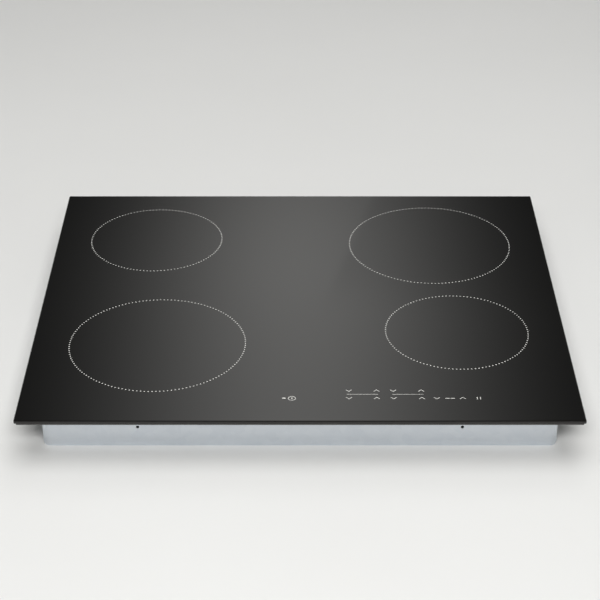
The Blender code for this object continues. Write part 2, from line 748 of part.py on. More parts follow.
def make_rotor(side_name, side):
    """A drum of blades under a disc, with a blind bore that runs on the shroud's pin."""
    x, y = side * BOARD_MIDDLE_X, FAN_Y
    disc_low, disc_high = BLOWER_TOP - 0.0045, BLOWER_TOP - 0.0030
    bore = FAN_PIN_RADIUS + GAP
    rotor = turned(f"fan_rotor_{side_name}", [
        (0.0, 0.0085), (0.0120, 0.0085), (0.0130, 0.0095), (0.0130, disc_low),
        (ROTOR_RADIUS, disc_low), (ROTOR_RADIUS, disc_high), (bore, disc_high),
        (bore, 0.0115), (0.0, 0.0115),
    ], (0.0, 0.0), "black_plastic", segments=26)
    blades = []
    for i in range(ROTOR_BLADES):
        blade = block("blade", (0.0215, -0.0006, 0.0065), (ROTOR_RADIUS - 0.0006, 0.0006, disc_low + 0.0007),
                      "black_plastic")
        lean = Matrix.Translation((0.0257, 0.0, 0.0)) @ Matrix.Rotation(math.radians(-35), 4, "Z")
        blade.matrix_basis = (
            Matrix.Rotation(2 * math.pi * i / ROTOR_BLADES, 4, "Z")
            @ lean @ Matrix.Translation((-0.0257, 0.0, 0.0))
        )
        blades.append(blade)
    tool = one_of(blades, f"fan_blades_{side_name}")
    join(rotor, tool)
    tool.location = rotor.location = (x, y, 0.0)


def make_filter_parts():
    """The mains filter's choke and capacitor, at the rear of the right-hand board."""
    rest = BOARD_TOP + GAP
    turned("filter_choke", [(0.006, rest), (0.014, rest), (0.015, rest + 0.002), (0.015, rest + 0.010),
                            (0.014, rest + 0.012), (0.006, rest + 0.012)],
           (0.048, 0.130), "copper_litz", segments=20)
    block("filter_capacitor", (0.032, 0.080, rest), (0.064, 0.098, rest + 0.016), "capacitor_case", bevel=0.001)


def make_power():
    make_board_tray()
    for side_name, side in (("left", -1), ("right", 1)):
        make_board(side_name, side)
        make_heat_sink(side_name, side)
        make_shroud(side_name, side)
        make_rotor(side_name, side)
    make_filter_parts()


# ---- Touch controls ----------------------------------------------------------------------------


def key_wells():
    """Round wells for the touch keys' springs, and windows for the digits that shine through the glass."""
    keys = [(POWER_KEY_X, FRONT_KEYS_Y), (PAUSE_KEY_X, FRONT_KEYS_Y)]
    keys += [(x, FRONT_KEYS_Y) for x in TIMER_KEYS_X]
    digits = [((TIMER_KEYS_X[0] + TIMER_KEYS_X[1]) / 2, FRONT_KEYS_Y, 0.0130)]
    for down_x, up_x in ZONE_KEYS_X:
        for y in (FRONT_KEYS_Y, REAR_KEYS_Y):
            keys += [(down_x, y), (up_x, y)]
            digits.append(((down_x + up_x) / 2, y, 0.0070))
    wells = [circle(KEY_RADIUS, key, 10) for key in keys]
    wells += [rectangle(x - wide / 2, y - 0.0045, x + wide / 2, y + 0.0045) for x, y, wide in digits]
    return wells


def make_controls():
    centre = (CONTROL_X, CONTROL_Y)
    low, high = COIL_TRAY_TOP + GAP, FRAME_TOP - FRAME_SHEET - GAP
    board_low = 0.0400

    def outline(inset):
        return rounded_rectangle(CONTROL_LENGTH - 2 * inset, CONTROL_WIDTH - 2 * inset, 0.002, centre, steps=2)

    lofted("control_carrier", [
        (outline(0.0), low), (outline(0.0), high), (outline(0.0016), high),
        (outline(0.0016), board_low - GAP), (outline(0.0036), board_low - GAP),
        (outline(0.0036), low + 0.0015),
    ], "black_plastic")
    prism("control_board", outline(0.0016 + GAP), board_low, board_low + BOARD_THICKNESS, "circuit_board")
    plate("key_frame", rounded_rectangle(KEY_FRAME_LENGTH, KEY_FRAME_WIDTH, 0.002, centre, steps=2),
          key_wells(), board_low + BOARD_THICKNESS + GAP, GLASS_BOTTOM - GAP, "black_plastic")


# ---- Mains terminal in the rear wall -----------------------------------------------------------

BOX_WALL = 0.0015
BOX_REAR = PAN_REAR - 0.0004
BOX_FRONT = BOX_REAR - TERMINAL_DEPTH
BOX_LEFT = TERMINAL_X - TERMINAL_WIDTH / 2 + GAP
BOX_RIGHT = TERMINAL_X + TERMINAL_WIDTH / 2 - GAP
BOX_LOW = TERMINAL_LOW + GAP
BOX_HIGH = TERMINAL_HIGH - GAP
BOX_FLOOR = BOX_LOW + BOX_WALL
CABLE_Z = BOX_FLOOR + GAP + 0.0035
BOX_SHOULDER = 0.0012
HINGE_RADIUS = 0.0012  # half the cover's thickness
HINGE_PIN_RADIUS = 0.0007
HINGE_Y = BOX_REAR - 0.0030
HINGE_Z = BOX_HIGH - BOX_WALL - GAP - HINGE_RADIUS


def make_terminal_box():
    """A plastic box set into the pan's rear wall, open to the rear, where the mains cable comes in."""
    box = block("terminal_box", (BOX_LEFT, BOX_FRONT, BOX_LOW), (BOX_RIGHT, BOX_REAR, BOX_HIGH), "black_plastic")
    side, ceiling = BOX_WALL + BOX_SHOULDER, BOX_HIGH - BOX_WALL
    cut(box, block("terminal_room", (BOX_LEFT + side, BOX_FRONT + BOX_WALL, BOX_FLOOR),
                   (BOX_RIGHT - side, BOX_REAR + 0.005, ceiling), "black_plastic"))
    shoulder_y = HINGE_Y - HINGE_RADIUS - GAP  # the shut cover rests on this step in each side wall
    cut(box, block("cover_recess", (BOX_LEFT + BOX_WALL, shoulder_y, BOX_FLOOR),
                   (BOX_RIGHT - BOX_WALL, BOX_REAR + 0.006, ceiling), "black_plastic"))
    cut(box, rod("hinge_pin_bore", HINGE_PIN_RADIUS + GAP, BOX_LEFT - 0.002, BOX_RIGHT + 0.002, "X",
                 (0.0, HINGE_Y, HINGE_Z), segments=10))


def make_terminal_block():
    """Five screw terminals in a row, with a screw shaft and a wire mouth for each."""
    rest = BOX_FLOOR + GAP
    front = BOX_FRONT + BOX_WALL + GAP
    length, depth, height = 0.060, 0.020, 0.0140
    left = BOX_LEFT + 0.006
    terminals = block("terminal_block", (left, front, rest), (left + length, front + depth, rest + height),
                      "beige_plastic")
    tools = []
    for x in spread(5, length / 5):
        middle = left + length / 2 + x
        tools.append(prism("shaft", circle(0.0024, (middle, front + 0.5 * depth), 8),
                           rest + 0.65 * height, rest + height + 0.002, "black_plastic"))
        tools.append(block("mouth", (middle - 0.0028, front + depth - 0.006, rest + 0.0020),
                           (middle + 0.0028, front + depth + 0.004, rest + 0.0070), "black_plastic"))
    cut(terminals, one_of(tools, "terminal_tools"))


def make_cable_clamp():
    """The strain relief: a bridge over the cable's way into the box."""
    half, shoulder, top = 0.0115, 0.0065, 0.0140
    arch_z = CABLE_Z - BOX_FLOOR - GAP
    arch = [
        (CABLE_RADIUS * math.cos(math.pi * i / 8), arch_z + CABLE_RADIUS * math.sin(math.pi * i / 8))
        for i in range(8, -1, -1)
    ]
    section = [
        (-half, 0.0), (-CABLE_RADIUS, 0.0), *arch, (CABLE_RADIUS, 0.0), (half, 0.0),
        (half, shoulder), (0.7 * half, top), (-0.7 * half, top), (-half, shoulder),
    ]
    clamp = prism("cable_clamp", section, 0.0, 0.010, "beige_plastic")
    clamp.data.transform(Matrix.Rotation(math.radians(90), 4, "X"))
    clamp.location = (CABLE_X, BOX_REAR - 0.008, BOX_FLOOR + GAP)


def make_terminal_cover():
    """The lid of the terminal box. It hangs from pins in the box's side walls and is notched for the cable."""
    left = BOX_LEFT + BOX_WALL + GAP
    right = BOX_RIGHT - BOX_WALL - GAP
    low = BOX_FLOOR + GAP
    notch_radius = CABLE_RADIUS + 0.0007
    notch = [
        (CABLE_X - notch_radius * math.cos(math.pi * i / 10), CABLE_Z + notch_radius * math.sin(math.pi * i / 10))
        for i in range(11)
    ]
    outline = [
        (left, low), (CABLE_X - notch_radius, low), *notch, (CABLE_X + notch_radius, low),
        (right, low), (right, HINGE_Z), (left, HINGE_Z),
    ]
    centred = [(x, z - HINGE_Z) for x, z in outline]
    cover = prism("terminal_cover", centred, -HINGE_RADIUS, HINGE_RADIUS, "black_plastic")
    cover.data.transform(Matrix.Rotation(math.radians(90), 4, "X"))
    cover.location = (0.0, HINGE_Y, HINGE_Z)
    barrel = rod("cover_barrel", HINGE_RADIUS, left, right, "X", (0.0, HINGE_Y, HINGE_Z), segments=12)
    join(cover, barrel)
    pins = rod("cover_pins", HINGE_PIN_RADIUS, BOX_LEFT, BOX_RIGHT, "X", (0.0, HINGE_Y, HINGE_Z), segments=8)
    join(cover, pins)


def make_terminal():
    make_terminal_box()
    make_terminal_block()
    make_cable_clamp()
    make_terminal_cover()


def main():
    for leftover in list(bpy.data.objects):
        bpy.data.objects.remove(leftover)
    make_glass()
    make_rim()
    make_side_screws()
    make_base_pan()
    make_coil_tray()
    make_coils()
    make_power()
    make_controls()
    make_terminal()


main()
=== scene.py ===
"""The looks of a built-in induction hob with four cooking zones.

A black glass-ceramic top with dotted zone rings and printed touch keys lies over a shallow pan of
zinc-coated steel. Under the glass are sprung coils of litz wire on an aluminium tray, and below the
tray two inverter boards, each with a heat sink and a blower. The mains cable comes in at the rear.

Everything is in metres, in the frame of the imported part: X right, Y to the rear, Z up.
"""

from __future__ import annotations

import json
import logging
import math
from collections.abc import Iterable, Sequence
from dataclasses import dataclass, field
from enum import Enum

import bmesh
import bpy
from mathutils import Matrix, Vector


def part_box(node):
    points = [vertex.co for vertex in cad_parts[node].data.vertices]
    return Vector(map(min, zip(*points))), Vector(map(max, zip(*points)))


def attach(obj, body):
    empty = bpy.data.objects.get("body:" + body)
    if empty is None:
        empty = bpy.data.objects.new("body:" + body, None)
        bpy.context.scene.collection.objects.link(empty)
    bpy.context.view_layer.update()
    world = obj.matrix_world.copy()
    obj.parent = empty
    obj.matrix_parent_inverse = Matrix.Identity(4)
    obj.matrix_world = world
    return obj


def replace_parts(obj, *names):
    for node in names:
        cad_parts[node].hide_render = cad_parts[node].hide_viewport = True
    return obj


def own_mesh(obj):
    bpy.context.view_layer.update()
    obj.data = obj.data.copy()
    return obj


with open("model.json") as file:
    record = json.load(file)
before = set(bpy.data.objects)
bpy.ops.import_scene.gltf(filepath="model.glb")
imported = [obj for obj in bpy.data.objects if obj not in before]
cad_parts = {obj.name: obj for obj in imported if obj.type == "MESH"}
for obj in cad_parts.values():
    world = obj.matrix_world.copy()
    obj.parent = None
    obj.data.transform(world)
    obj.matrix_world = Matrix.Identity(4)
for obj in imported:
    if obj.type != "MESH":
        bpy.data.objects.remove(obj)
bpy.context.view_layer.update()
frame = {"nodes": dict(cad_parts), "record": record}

log = logging.getLogger("hob")

MM = 0.001
TOUCH = 0.0003  # the gap that pieces keep to the ones they touch
FULL_TURN = 2 * math.pi

Point = tuple[float, float]
Tree = bpy.types.NodeTree
Socket = bpy.types.NodeSocket
Maker = bmesh.types.BMesh


# ---- Small tools for shaders -------------------------------------------------------------------


def linear(hex_colour: str) -> tuple[float, float, float, float]:
    """Turns an sRGB hex colour into a linear one.

    Args:
        hex_colour: six hex digits after a #.

    Returns:
        Red, green, blue and an alpha of 1.
    """
    shares = [int(hex_colour[i:i + 2], 16) / 255 for i in (1, 3, 5)]
    red, green, blue = [s / 12.92 if s <= 0.04045 else ((s + 0.055) / 1.055) ** 2.4 for s in shares]
    return red, green, blue, 1.0


def add_node(
    tree: Tree,
    kind: str,
    links: dict[str | int, Socket] | None = None,
    values: dict[str | int, object] | None = None,
    **settings: object,
) -> bpy.types.Node:
    """Adds a node with its settings and links.

    Args:
        tree: the node tree that it goes into.
        kind: the node's type.
        links: for each input, the output that feeds it.
        values: for each input, its constant value.
        **settings: the node's own properties.

    Returns:
        The new node.
    """
    node = tree.nodes.new(kind)
    for name, value in settings.items():
        setattr(node, name, value)
    for name, value in (values or {}).items():
        node.inputs[name].default_value = value
    for name, output in (links or {}).items():
        tree.links.new(output, node.inputs[name])
    return node


def per_metre(size_mm: float) -> float:
    """A texture's scale that makes its pattern as large as size_mm."""
    return 1 / (size_mm * MM)


# ---- Finishes ----------------------------------------------------------------------------------


@dataclass(frozen=True)
class Finish:
    """A surface: what it is made of, and what its making left on it.

    The colour drifts between `colour` and `shade` in patches of `patch_mm`. The grain has the spacing
    `grain_mm` along X, Y and Z and stands `relief_mm` high.
    """

    name: str
    slot: str
    colour: str
    shade: str
    roughness: float
    roughness_spread: float = 0.06
    metallic: float = 0.0
    ior: float = 1.5
    patch_mm: float = 12.0
    grain_mm: tuple[float, float, float] = (0.5, 0.5, 0.5)
    relief_mm: float = 0.01

    def material(self) -> bpy.types.Material:
        """The finish as a Blender material, made the first time it is asked for."""
        found = bpy.data.materials.get(self.name)
        if found:
            return found
        made = bpy.data.materials.new(self.name)
        made.use_nodes = True
        tree = made.node_tree
        shader = tree.nodes["Principled BSDF"]
        shader.inputs["Metallic"].default_value = self.metallic
        if not self.metallic:
            shader.inputs["IOR"].default_value = self.ior
        place = add_node(tree, "ShaderNodeTexCoord").outputs["Object"]
        drift, height = self.pattern(tree, place)
        self.colour_and_gloss(tree, shader, drift)
        bump = add_node(
            tree, "ShaderNodeBump", {"Height": height}, {"Distance": self.relief_mm * MM, "Strength": 1.0}
        )
        tree.links.new(bump.outputs["Normal"], shader.inputs["Normal"])
        return made

    def pattern(self, tree: Tree, place: Socket) -> tuple[Socket, Socket]:
        """Makes the surface's pattern.

        Args:
            tree: the material's nodes.
            place: where on the piece a point is, in metres.

        Returns:
            How far the colour has drifted, from 0 to 1, and the grain's height, from 0 to 1.
        """
        drift = self.noise(tree, place, (self.patch_mm,) * 3, detail=4.0)
        return drift, self.noise(tree, place, self.grain_mm, detail=2.0)

    @staticmethod
    def noise(tree: Tree, place: Socket, size_mm: Sequence[float], detail: float) -> Socket:
        """Cloudy noise whose lumps are size_mm along X, Y and Z.

        Args:
            tree: the material's nodes.
            place: where on the piece a point is, in metres.
            size_mm: the size of a lump along each axis.
            detail: how many finer layers lie on it.

        Returns:
            The noise, from 0 to 1.
        """
        sized = add_node(
            tree, "ShaderNodeMapping", {"Vector": place}, {"Scale": [per_metre(size) for size in size_mm]}
        )
        return add_node(
            tree, "ShaderNodeTexNoise", {"Vector": sized.outputs[0]}, {"Scale": 1.0, "Detail": detail}
        ).outputs[0]

    def colour_and_gloss(self, tree: Tree, shader: bpy.types.Node, drift: Socket) -> None:
        """Feeds the shader's colour and roughness from the drift.

        Args:
            tree: the material's nodes.
            shader: the material's shader.
            drift: how far the colour has drifted, from 0 to 1.
        """
        colour, gloss = self.plain_face(tree, drift)
        tree.links.new(colour, shader.inputs["Base Color"])
        tree.links.new(gloss, shader.inputs["Roughness"])

    def plain_face(self, tree: Tree, drift: Socket) -> tuple[Socket, Socket]:
        """Works out the colour and roughness of a plain face.

        Args:
            tree: the material's nodes.
            drift: how far the colour has drifted, from 0 to 1.

        Returns:
            The colour and the roughness.
        """
        between = {6: linear(self.colour), 7: linear(self.shade)}
        colour = add_node(tree, "ShaderNodeMix", {0: drift}, between, data_type="RGBA")
        low, high = self.roughness - self.roughness_spread, self.roughness + self.roughness_spread
        gloss = add_node(tree, "ShaderNodeMapRange", {"Value": drift}, {"To Min": low, "To Max": high})
        return colour.outputs[2], gloss.outputs[0]


@dataclass(frozen=True)
class GlassCeramic(Finish):
    """Black glass ceramic: fire-polished faces, and edges that are ground and then left a little matt."""

    edge_colour: str = "#0C0907"
    edge_roughness: float = 0.10
    face_slope: float = 0.97  # the upright share of the normal where the flat face ends
    edge_slope: float = 0.80  # and where the ground edge is fully reached

    def colour_and_gloss(self, tree: Tree, shader: bpy.types.Node, drift: Socket) -> None:
        """Gives the flat faces a mirror gloss and the ground edges a brownish, duller one.

        Args:
            tree: the material's nodes.
            shader: the material's shader.
            drift: how far the colour has drifted, from 0 to 1.
        """
        normal = add_node(tree, "ShaderNodeNewGeometry").outputs["Normal"]
        upright = add_node(tree, "ShaderNodeSeparateXYZ", {0: normal}).outputs["Z"]
        steep = add_node(tree, "ShaderNodeMath", {0: upright}, operation="ABSOLUTE").outputs[0]
        edge = add_node(
            tree, "ShaderNodeMapRange", {"Value": steep},
            {"From Min": self.face_slope, "From Max": self.edge_slope},
        ).outputs[0]
        face_colour, face_gloss = self.plain_face(tree, drift)
        colour = add_node(
            tree, "ShaderNodeMix", {0: edge, 6: face_colour}, {7: linear(self.edge_colour)}, data_type="RGBA"
        )
        gloss = add_node(
            tree, "ShaderNodeMix", {0: edge, 2: face_gloss}, {3: self.edge_roughness}, data_type="FLOAT"
        )
        tree.links.new(colour.outputs[2], shader.inputs["Base Color"])
        tree.links.new(gloss.outputs[0], shader.inputs["Roughness"])


@dataclass(frozen=True)
class ZincSheet(Finish):
    """Cold-rolled steel with a hot-dipped zinc coat: faint crystals, and fine rolling lines along it."""

    spangle_mm: float = 9.0

    def pattern(self, tree: Tree, place: Socket) -> tuple[Socket, Socket]:
        """Mixes the zinc's crystals with the marks of the rolls.

        Args:
            tree: the material's nodes.
            place: where on the piece a point is, in metres.

        Returns:
            The crystals' brightness and the rolling lines' height.
        """
        crystals = add_node(
            tree, "ShaderNodeTexVoronoi", {"Vector": place}, {"Scale": per_metre(self.spangle_mm)}
        ).outputs["Color"]
        facing = add_node(tree, "ShaderNodeSeparateColor", {0: crystals}).outputs[0]
        cloud = self.noise(tree, place, (self.patch_mm,) * 3, detail=3.0)
        drift = add_node(
            tree, "ShaderNodeMix", {2: cloud, 3: facing}, {0: 0.35}, data_type="FLOAT"
        ).outputs[0]
        return drift, self.noise(tree, place, self.grain_mm, detail=2.0)


@dataclass(frozen=True)
class LitzWire(Finish):
    """Varnished copper strands, twisted into one cord and laid flat in turns."""

    strand_mm: float = 1.6

    def pattern(self, tree: Tree, place: Socket) -> tuple[Socket, Socket]:
        """Runs slanting ridges over the cord for its twisted strands.

        Args:
            tree: the material's nodes.
            place: where on the piece a point is, in metres.

        Returns:
            The varnish's drift and the strands' height.
        """
        strands = add_node(
            tree, "ShaderNodeTexWave", {"Vector": place},
            {"Scale": per_metre(self.strand_mm) / 10, "Distortion": 1.2, "Detail": 1.0},
            wave_type="BANDS", bands_direction="DIAGONAL",
        ).outputs["Fac"]
        cloud = self.noise(tree, place, (self.patch_mm,) * 3, detail=3.0)
        drift = add_node(
            tree, "ShaderNodeMix", {2: cloud, 3: strands}, {0: 0.45}, data_type="FLOAT"
        ).outputs[0]
        return drift, strands


@dataclass(frozen=True)
class CellFoam(Finish):
    """Closed-cell foam or pressed flakes: a surface of small rounded cells."""

    cell_mm: float = 0.8

    def pattern(self, tree: Tree, place: Socket) -> tuple[Socket, Socket]:
        """Fills the surface with cells.

        Args:
            tree: the material's nodes.
            place: where on the piece a point is, in metres.

        Returns:
            The drift from cell to cell and the cells' height.
        """
        cells = add_node(tree, "ShaderNodeTexVoronoi", {"Vector": place}, {"Scale": per_metre(self.cell_mm)})
        shade = add_node(tree, "ShaderNodeSeparateColor", {0: cells.outputs["Color"]}).outputs[0]
        return shade, cells.outputs["Distance"]


@dataclass(frozen=True)
class SolderMask(Finish):
    """Glass-epoxy laminate under green solder mask, with the copper tracks showing as lighter bands."""

    track_mm: float = 2.4

    def pattern(self, tree: Tree, place: Socket) -> tuple[Socket, Socket]:
        """Draws tracks that run in steps, as on a routed board.

        Args:
            tree: the material's nodes.
            place: where on the piece a point is, in metres.

        Returns:
            Where the tracks are, and their height.
        """
        blocks = add_node(
            tree, "ShaderNodeTexVoronoi", {"Vector": place}, {"Scale": per_metre(self.track_mm * 3)},
            distance="CHEBYCHEV", feature="F2",
        ).outputs["Distance"]
        wrapped = add_node(tree, "ShaderNodeMath", {0: blocks}, {1: 0.25}, operation="PINGPONG").outputs[0]
        tracks = add_node(
            tree, "ShaderNodeMapRange", {"Value": wrapped}, {"From Min": 0.10, "From Max": 0.15}
        ).outputs[0]
        return tracks, tracks


# Fire-polished black glass ceramic: mirrors the room, with almost no colour of its own.
BLACK_GLASS = GlassCeramic(
    "black_glass_ceramic_polished", "black_glass", "#090909", "#0B0B0A", 0.035, 0.008, ior=1.52,
    patch_mm=90.0, grain_mm=(60.0, 60.0, 60.0), relief_mm=0.004,
)
# Ceramic ink, screen-printed and fired: a matt, slightly warm white with a grainy edge.
FIRED_INK = Finish(
    "ceramic_ink_screen_printed", "black_glass", "#E6E5E1", "#D2D1CC", 0.55, patch_mm=1.0,
    grain_mm=(0.3, 0.3, 0.3), relief_mm=0.01,
)
# Hot-dipped zinc on a pressed steel sheet: pale blue-grey, satin, with faint crystals.
ZINC_STEEL = ZincSheet(
    "steel_sheet_hot_dip_zinc", "zinc_steel", "#E3E8ED", "#D7DDE4", 0.42, 0.03, metallic=1.0,
    patch_mm=40.0, grain_mm=(30.0, 0.6, 0.6), relief_mm=0.004,
)
# Expanded rubber strip, cut from sheet: dull grey with open pores on the cut faces.
FOAM_STRIP = CellFoam("rubber_foam_die_cut", "grey_foam", "#504F4E", "#454443", 0.92, 0.04, relief_mm=0.15)
# Silicone bead, cured in place: a soft black sheen.
SILICONE_BEAD = Finish("silicone_cured_bead", "silicone", "#1E1E1E", "#262626", 0.55, relief_mm=0.02)
# Mill-finish aluminium: bright, with the drawing lines of the rolls or the die along Y.
MILL_ALUMINIUM = Finish(
    "aluminium_mill_finish", "aluminium", "#D5D6D8", "#C2C4C7", 0.34, 0.07, metallic=1.0, patch_mm=30.0,
    grain_mm=(0.5, 40.0, 0.5), relief_mm=0.004,
)
# Glass-filled nylon from a spark-eroded mould: near-black with a fine even grain.
BLACK_NYLON = Finish(
    "nylon_glass_filled_moulded", "black_plastic", "#1D1D1E", "#262627", 0.52, ior=1.53, patch_mm=20.0,
    grain_mm=(0.45, 0.45, 0.45), relief_mm=0.02,
)
# Litz cord: reddish copper under clear varnish. The strands are drawn coarser than the real 0.2 mm.
COPPER_LITZ = LitzWire(
    "copper_litz_varnished", "copper_litz", "#C27746", "#8E4A28", 0.36, metallic=1.0, patch_mm=9.0,
    relief_mm=0.25,
)
# Pressed mica board: brownish, with glinting flakes.
MICA_BOARD = CellFoam(
    "mica_flake_pressed", "mica", "#A79A80", "#8B7E66", 0.45, 0.15, cell_mm=3.0, relief_mm=0.02,
)
# Sintered ferrite, ground flat: charcoal grey and slightly rough.
FERRITE = Finish("ferrite_sintered_ground", "ferrite", "#3F3F43", "#35353A", 0.50, relief_mm=0.015)
# Silicone rubber, moulded: off-white and soft.
WHITE_SILICONE = Finish("silicone_rubber_moulded", "white_silicone", "#DAD8D2", "#CBC8C0", 0.50)
# Spring wire, cold-drawn: bright, with lines along the wire.
SPRING_WIRE = Finish(
    "spring_steel_cold_drawn", "spring_steel", "#C9CACC", "#B4B6B9", 0.26, metallic=1.0, patch_mm=3.0,
    grain_mm=(0.2, 0.2, 0.2), relief_mm=0.004,
)
# Green solder mask on laminate: glossy, with raised tracks.
GREEN_BOARD = SolderMask(
    "laminate_green_solder_mask", "circuit_board", "#0F4A2A", "#1C6B40", 0.30, relief_mm=0.05,
)
# Polyamide, moulded: cream, with a light grain.
CREAM_POLYAMIDE = Finish("polyamide_cream_moulded", "beige_plastic", "#D3CCB8", "#C5BDA7", 0.48)
# Film capacitor's case: golden yellow and smooth.
YELLOW_CASE = Finish(
    "polyester_case_moulded", "capacitor_case", "#C79A2C", "#B88B22", 0.38, grain_mm=(2.0, 2.0, 2.0),
)
# Screw, cold-headed and zinc-plated: grey metal with a bluish cast.
PLATED_SCREW = Finish(
    "screw_steel_zinc_plated", "screw_steel", "#A9AEB5", "#8F959C", 0.30, metallic=1.0, patch_mm=2.0,
    grain_mm=(0.3, 0.3, 0.3), relief_mm=0.006,
)
# Terminal screws and pins: plain brass, turned.
TURNED_BRASS = Finish(
    "brass_turned", "screw_steel", "#C9A858", "#B08F42", 0.28, metallic=1.0, patch_mm=2.0,
    grain_mm=(0.3, 0.3, 0.3), relief_mm=0.006,
)
# Component bodies: black epoxy, transfer-moulded.
EPOXY_BODY = Finish("epoxy_transfer_moulded", "black_plastic", "#202022", "#29292B", 0.42, relief_mm=0.01)
# Floor: pale matt paint.
PALE_PAINT = Finish(
    "floor_paint_rolled", "", "#E2E2E0", "#DCDCDA", 0.85, patch_mm=400.0, grain_mm=(6.0, 6.0, 6.0),
    relief_mm=0.02,
)

CAD_FINISHES: dict[str, Finish] = {
    "glass_top": BLACK_GLASS,
    "rim_seal": FOAM_STRIP,
    "glass_bond": SILICONE_BEAD,
    "mounting_frame": ZINC_STEEL,
    "base_pan": ZINC_STEEL,
    "coil_tray": MILL_ALUMINIUM,
    "heat_sink": MILL_ALUMINIUM,
    "winding": COPPER_LITZ,
    "filter_choke": COPPER_LITZ,
    "coil_carrier": BLACK_NYLON,
    "ferrites": FERRITE,
    "mica_disc": MICA_BOARD,
    "sensor": WHITE_SILICONE,
    "spring": SPRING_WIRE,
    "board_tray": BLACK_NYLON,
    "inverter_board": GREEN_BOARD,
    "control_board": GREEN_BOARD,
    "control_carrier": BLACK_NYLON,
    "key_frame": BLACK_NYLON,
    "fan_": BLACK_NYLON,
    "filter_capacitor": YELLOW_CASE,
    "terminal_block": CREAM_POLYAMIDE,
    "cable_clamp": CREAM_POLYAMIDE,
    "terminal_": BLACK_NYLON,
    "side_screw": PLATED_SCREW,
}


def dress_frame() -> None:
    """Gives every CAD node the finish of its kind."""
    for name, node in frame["nodes"].items():
        finish = next(made for start, made in CAD_FINISHES.items() if name.startswith(start))
        for slot in node.material_slots:
            slot.material = finish.material()
        log.info("dressed %s in %s", name, finish.name)


# ---- Small tools for meshes --------------------------------------------------------------------


def finished_mesh(name: str, maker: Maker) -> bpy.types.Mesh:
    """Writes a mesh that is being made into a Blender mesh.

    Args:
        name: the mesh's name.
        maker: the mesh being made, which is used up.

    Returns:
        The Blender mesh.
    """
    mesh = bpy.data.meshes.new(name)
    maker.to_mesh(mesh)
    maker.free()
    return mesh


def put(name: str, data: bpy.types.ID) -> bpy.types.Object:
    """Puts something in the scene.

    Args:
        name: the object's name.
        data: its mesh, light or camera.

    Returns:
        The object.
    """
    made = bpy.data.objects.new(name, data)
    bpy.context.scene.collection.objects.link(made)
    return made


def piece(
    name: str, maker: Maker, finish: Finish, body: str = "housing", smooth_angle: float = 35.0
) -> bpy.types.Object:
    """Turns a mesh into a finished piece that rides on a body.

    Args:
        name: the piece's name.
        maker: its mesh, which is used up.
        finish: its surface.
        body: the CAD body it moves with.
        smooth_angle: edges sharper than this, in degrees, stay sharp.

    Returns:
        The piece.
    """
    bmesh.ops.recalc_face_normals(maker, faces=maker.faces)
    mesh = finished_mesh(name, maker)
    mesh.materials.append(finish.material())
    mesh.shade_smooth()
    mesh.set_sharp_from_angle(angle=math.radians(smooth_angle))
    made = put(name, mesh)
    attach(made, body)
    log.info("built %s", name)
    return made


def skin(maker: Maker, rings: Sequence[Sequence[Vector]], closed: bool = False) -> None:
    """Skins rings of points that all have the same number of points.

    Args:
        maker: the mesh to add to.
        rings: the rings in order.
        closed: joins the last ring to the first, where otherwise both get caps.
    """
    made = [[maker.verts.new(point) for point in ring] for ring in rings]
    pairs = list(zip(made, made[1:]))
    if closed:
        pairs.append((made[-1], made[0]))
    else:
        maker.faces.new(made[0])
        maker.faces.new(made[-1])
    for lower, upper in pairs:
        for i in range(len(lower)):
            after = (i + 1) % len(lower)
            maker.faces.new((lower[i], lower[after], upper[after], upper[i]))


def circle(radius: float, centre: Point = (0.0, 0.0), count: int = 24) -> list[Point]:
    """Points round a circle, anticlockwise."""
    turns = [FULL_TURN * i / count for i in range(count)]
    return [(centre[0] + radius * math.cos(a), centre[1] + radius * math.sin(a)) for a in turns]


def rounded_rectangle(low: Point, high: Point, radius: float, steps: int = 4) -> list[Point]:
    """A rectangle with round corners.

    Args:
        low: its lowest corner.
        high: its highest corner.
        radius: the corners' radius.
        steps: straight pieces in each corner.

    Returns:
        Its points, anticlockwise.
    """
    points = []
    for corner, (side_x, side_y) in enumerate(((1, 1), (-1, 1), (-1, -1), (1, -1))):
        x = high[0] if side_x > 0 else low[0]
        y = high[1] if side_y > 0 else low[1]
        for step in range(steps + 1):
            angle = math.radians(90) * (corner + step / steps)
            points.append((
                x - side_x * radius + radius * math.cos(angle),
                y - side_y * radius + radius * math.sin(angle),
            ))
    return points


def at_height(outline: Iterable[Point], z: float) -> list[Vector]:
    """Lifts an outline to height z."""
    return [Vector((x, y, z)) for x, y in outline]


def fillet(corners: Sequence[Point], radius: float, steps: int = 3) -> list[Point]:
    """Rounds the inner corners of an open line.

    Args:
        corners: the line's points.
        radius: how far the rounding reaches from each corner.
        steps: straight pieces in each rounding.

    Returns:
        The rounded line's points.
    """
    rounded = [Vector(corners[0])]
    for before, corner, after in zip(corners, corners[1:], corners[2:]):
        middle = Vector(corner)
        back, ahead = Vector(before) - middle, Vector(after) - middle
        reach = min(radius, 0.45 * back.length, 0.45 * ahead.length)
        start, end = middle + back.normalized() * reach, middle + ahead.normalized() * reach
        for step in range(steps + 1):
            t = step / steps
            rounded.append(start * (1 - t) ** 2 + middle * 2 * t * (1 - t) + end * t**2)
    rounded.append(Vector(corners[-1]))
    return [tuple(point) for point in rounded]


def turned(
    maker: Maker, profile: Sequence[Point], place: Matrix, count: int = 24, closed: bool = False
) -> None:
    """Turns a (radius, height) profile about its axis.

    Args:
        maker: the mesh to add to.
        profile: the profile's points; it is capped at both ends, or closed on itself.
        place: where the axis goes.
        count: sides round the axis.
        closed: whether the profile's last point joins its first.
    """
    rings = [at_height(circle(radius, count=count), z) for radius, z in profile]
    skin(maker, [[place @ point for point in ring] for ring in rings], closed)


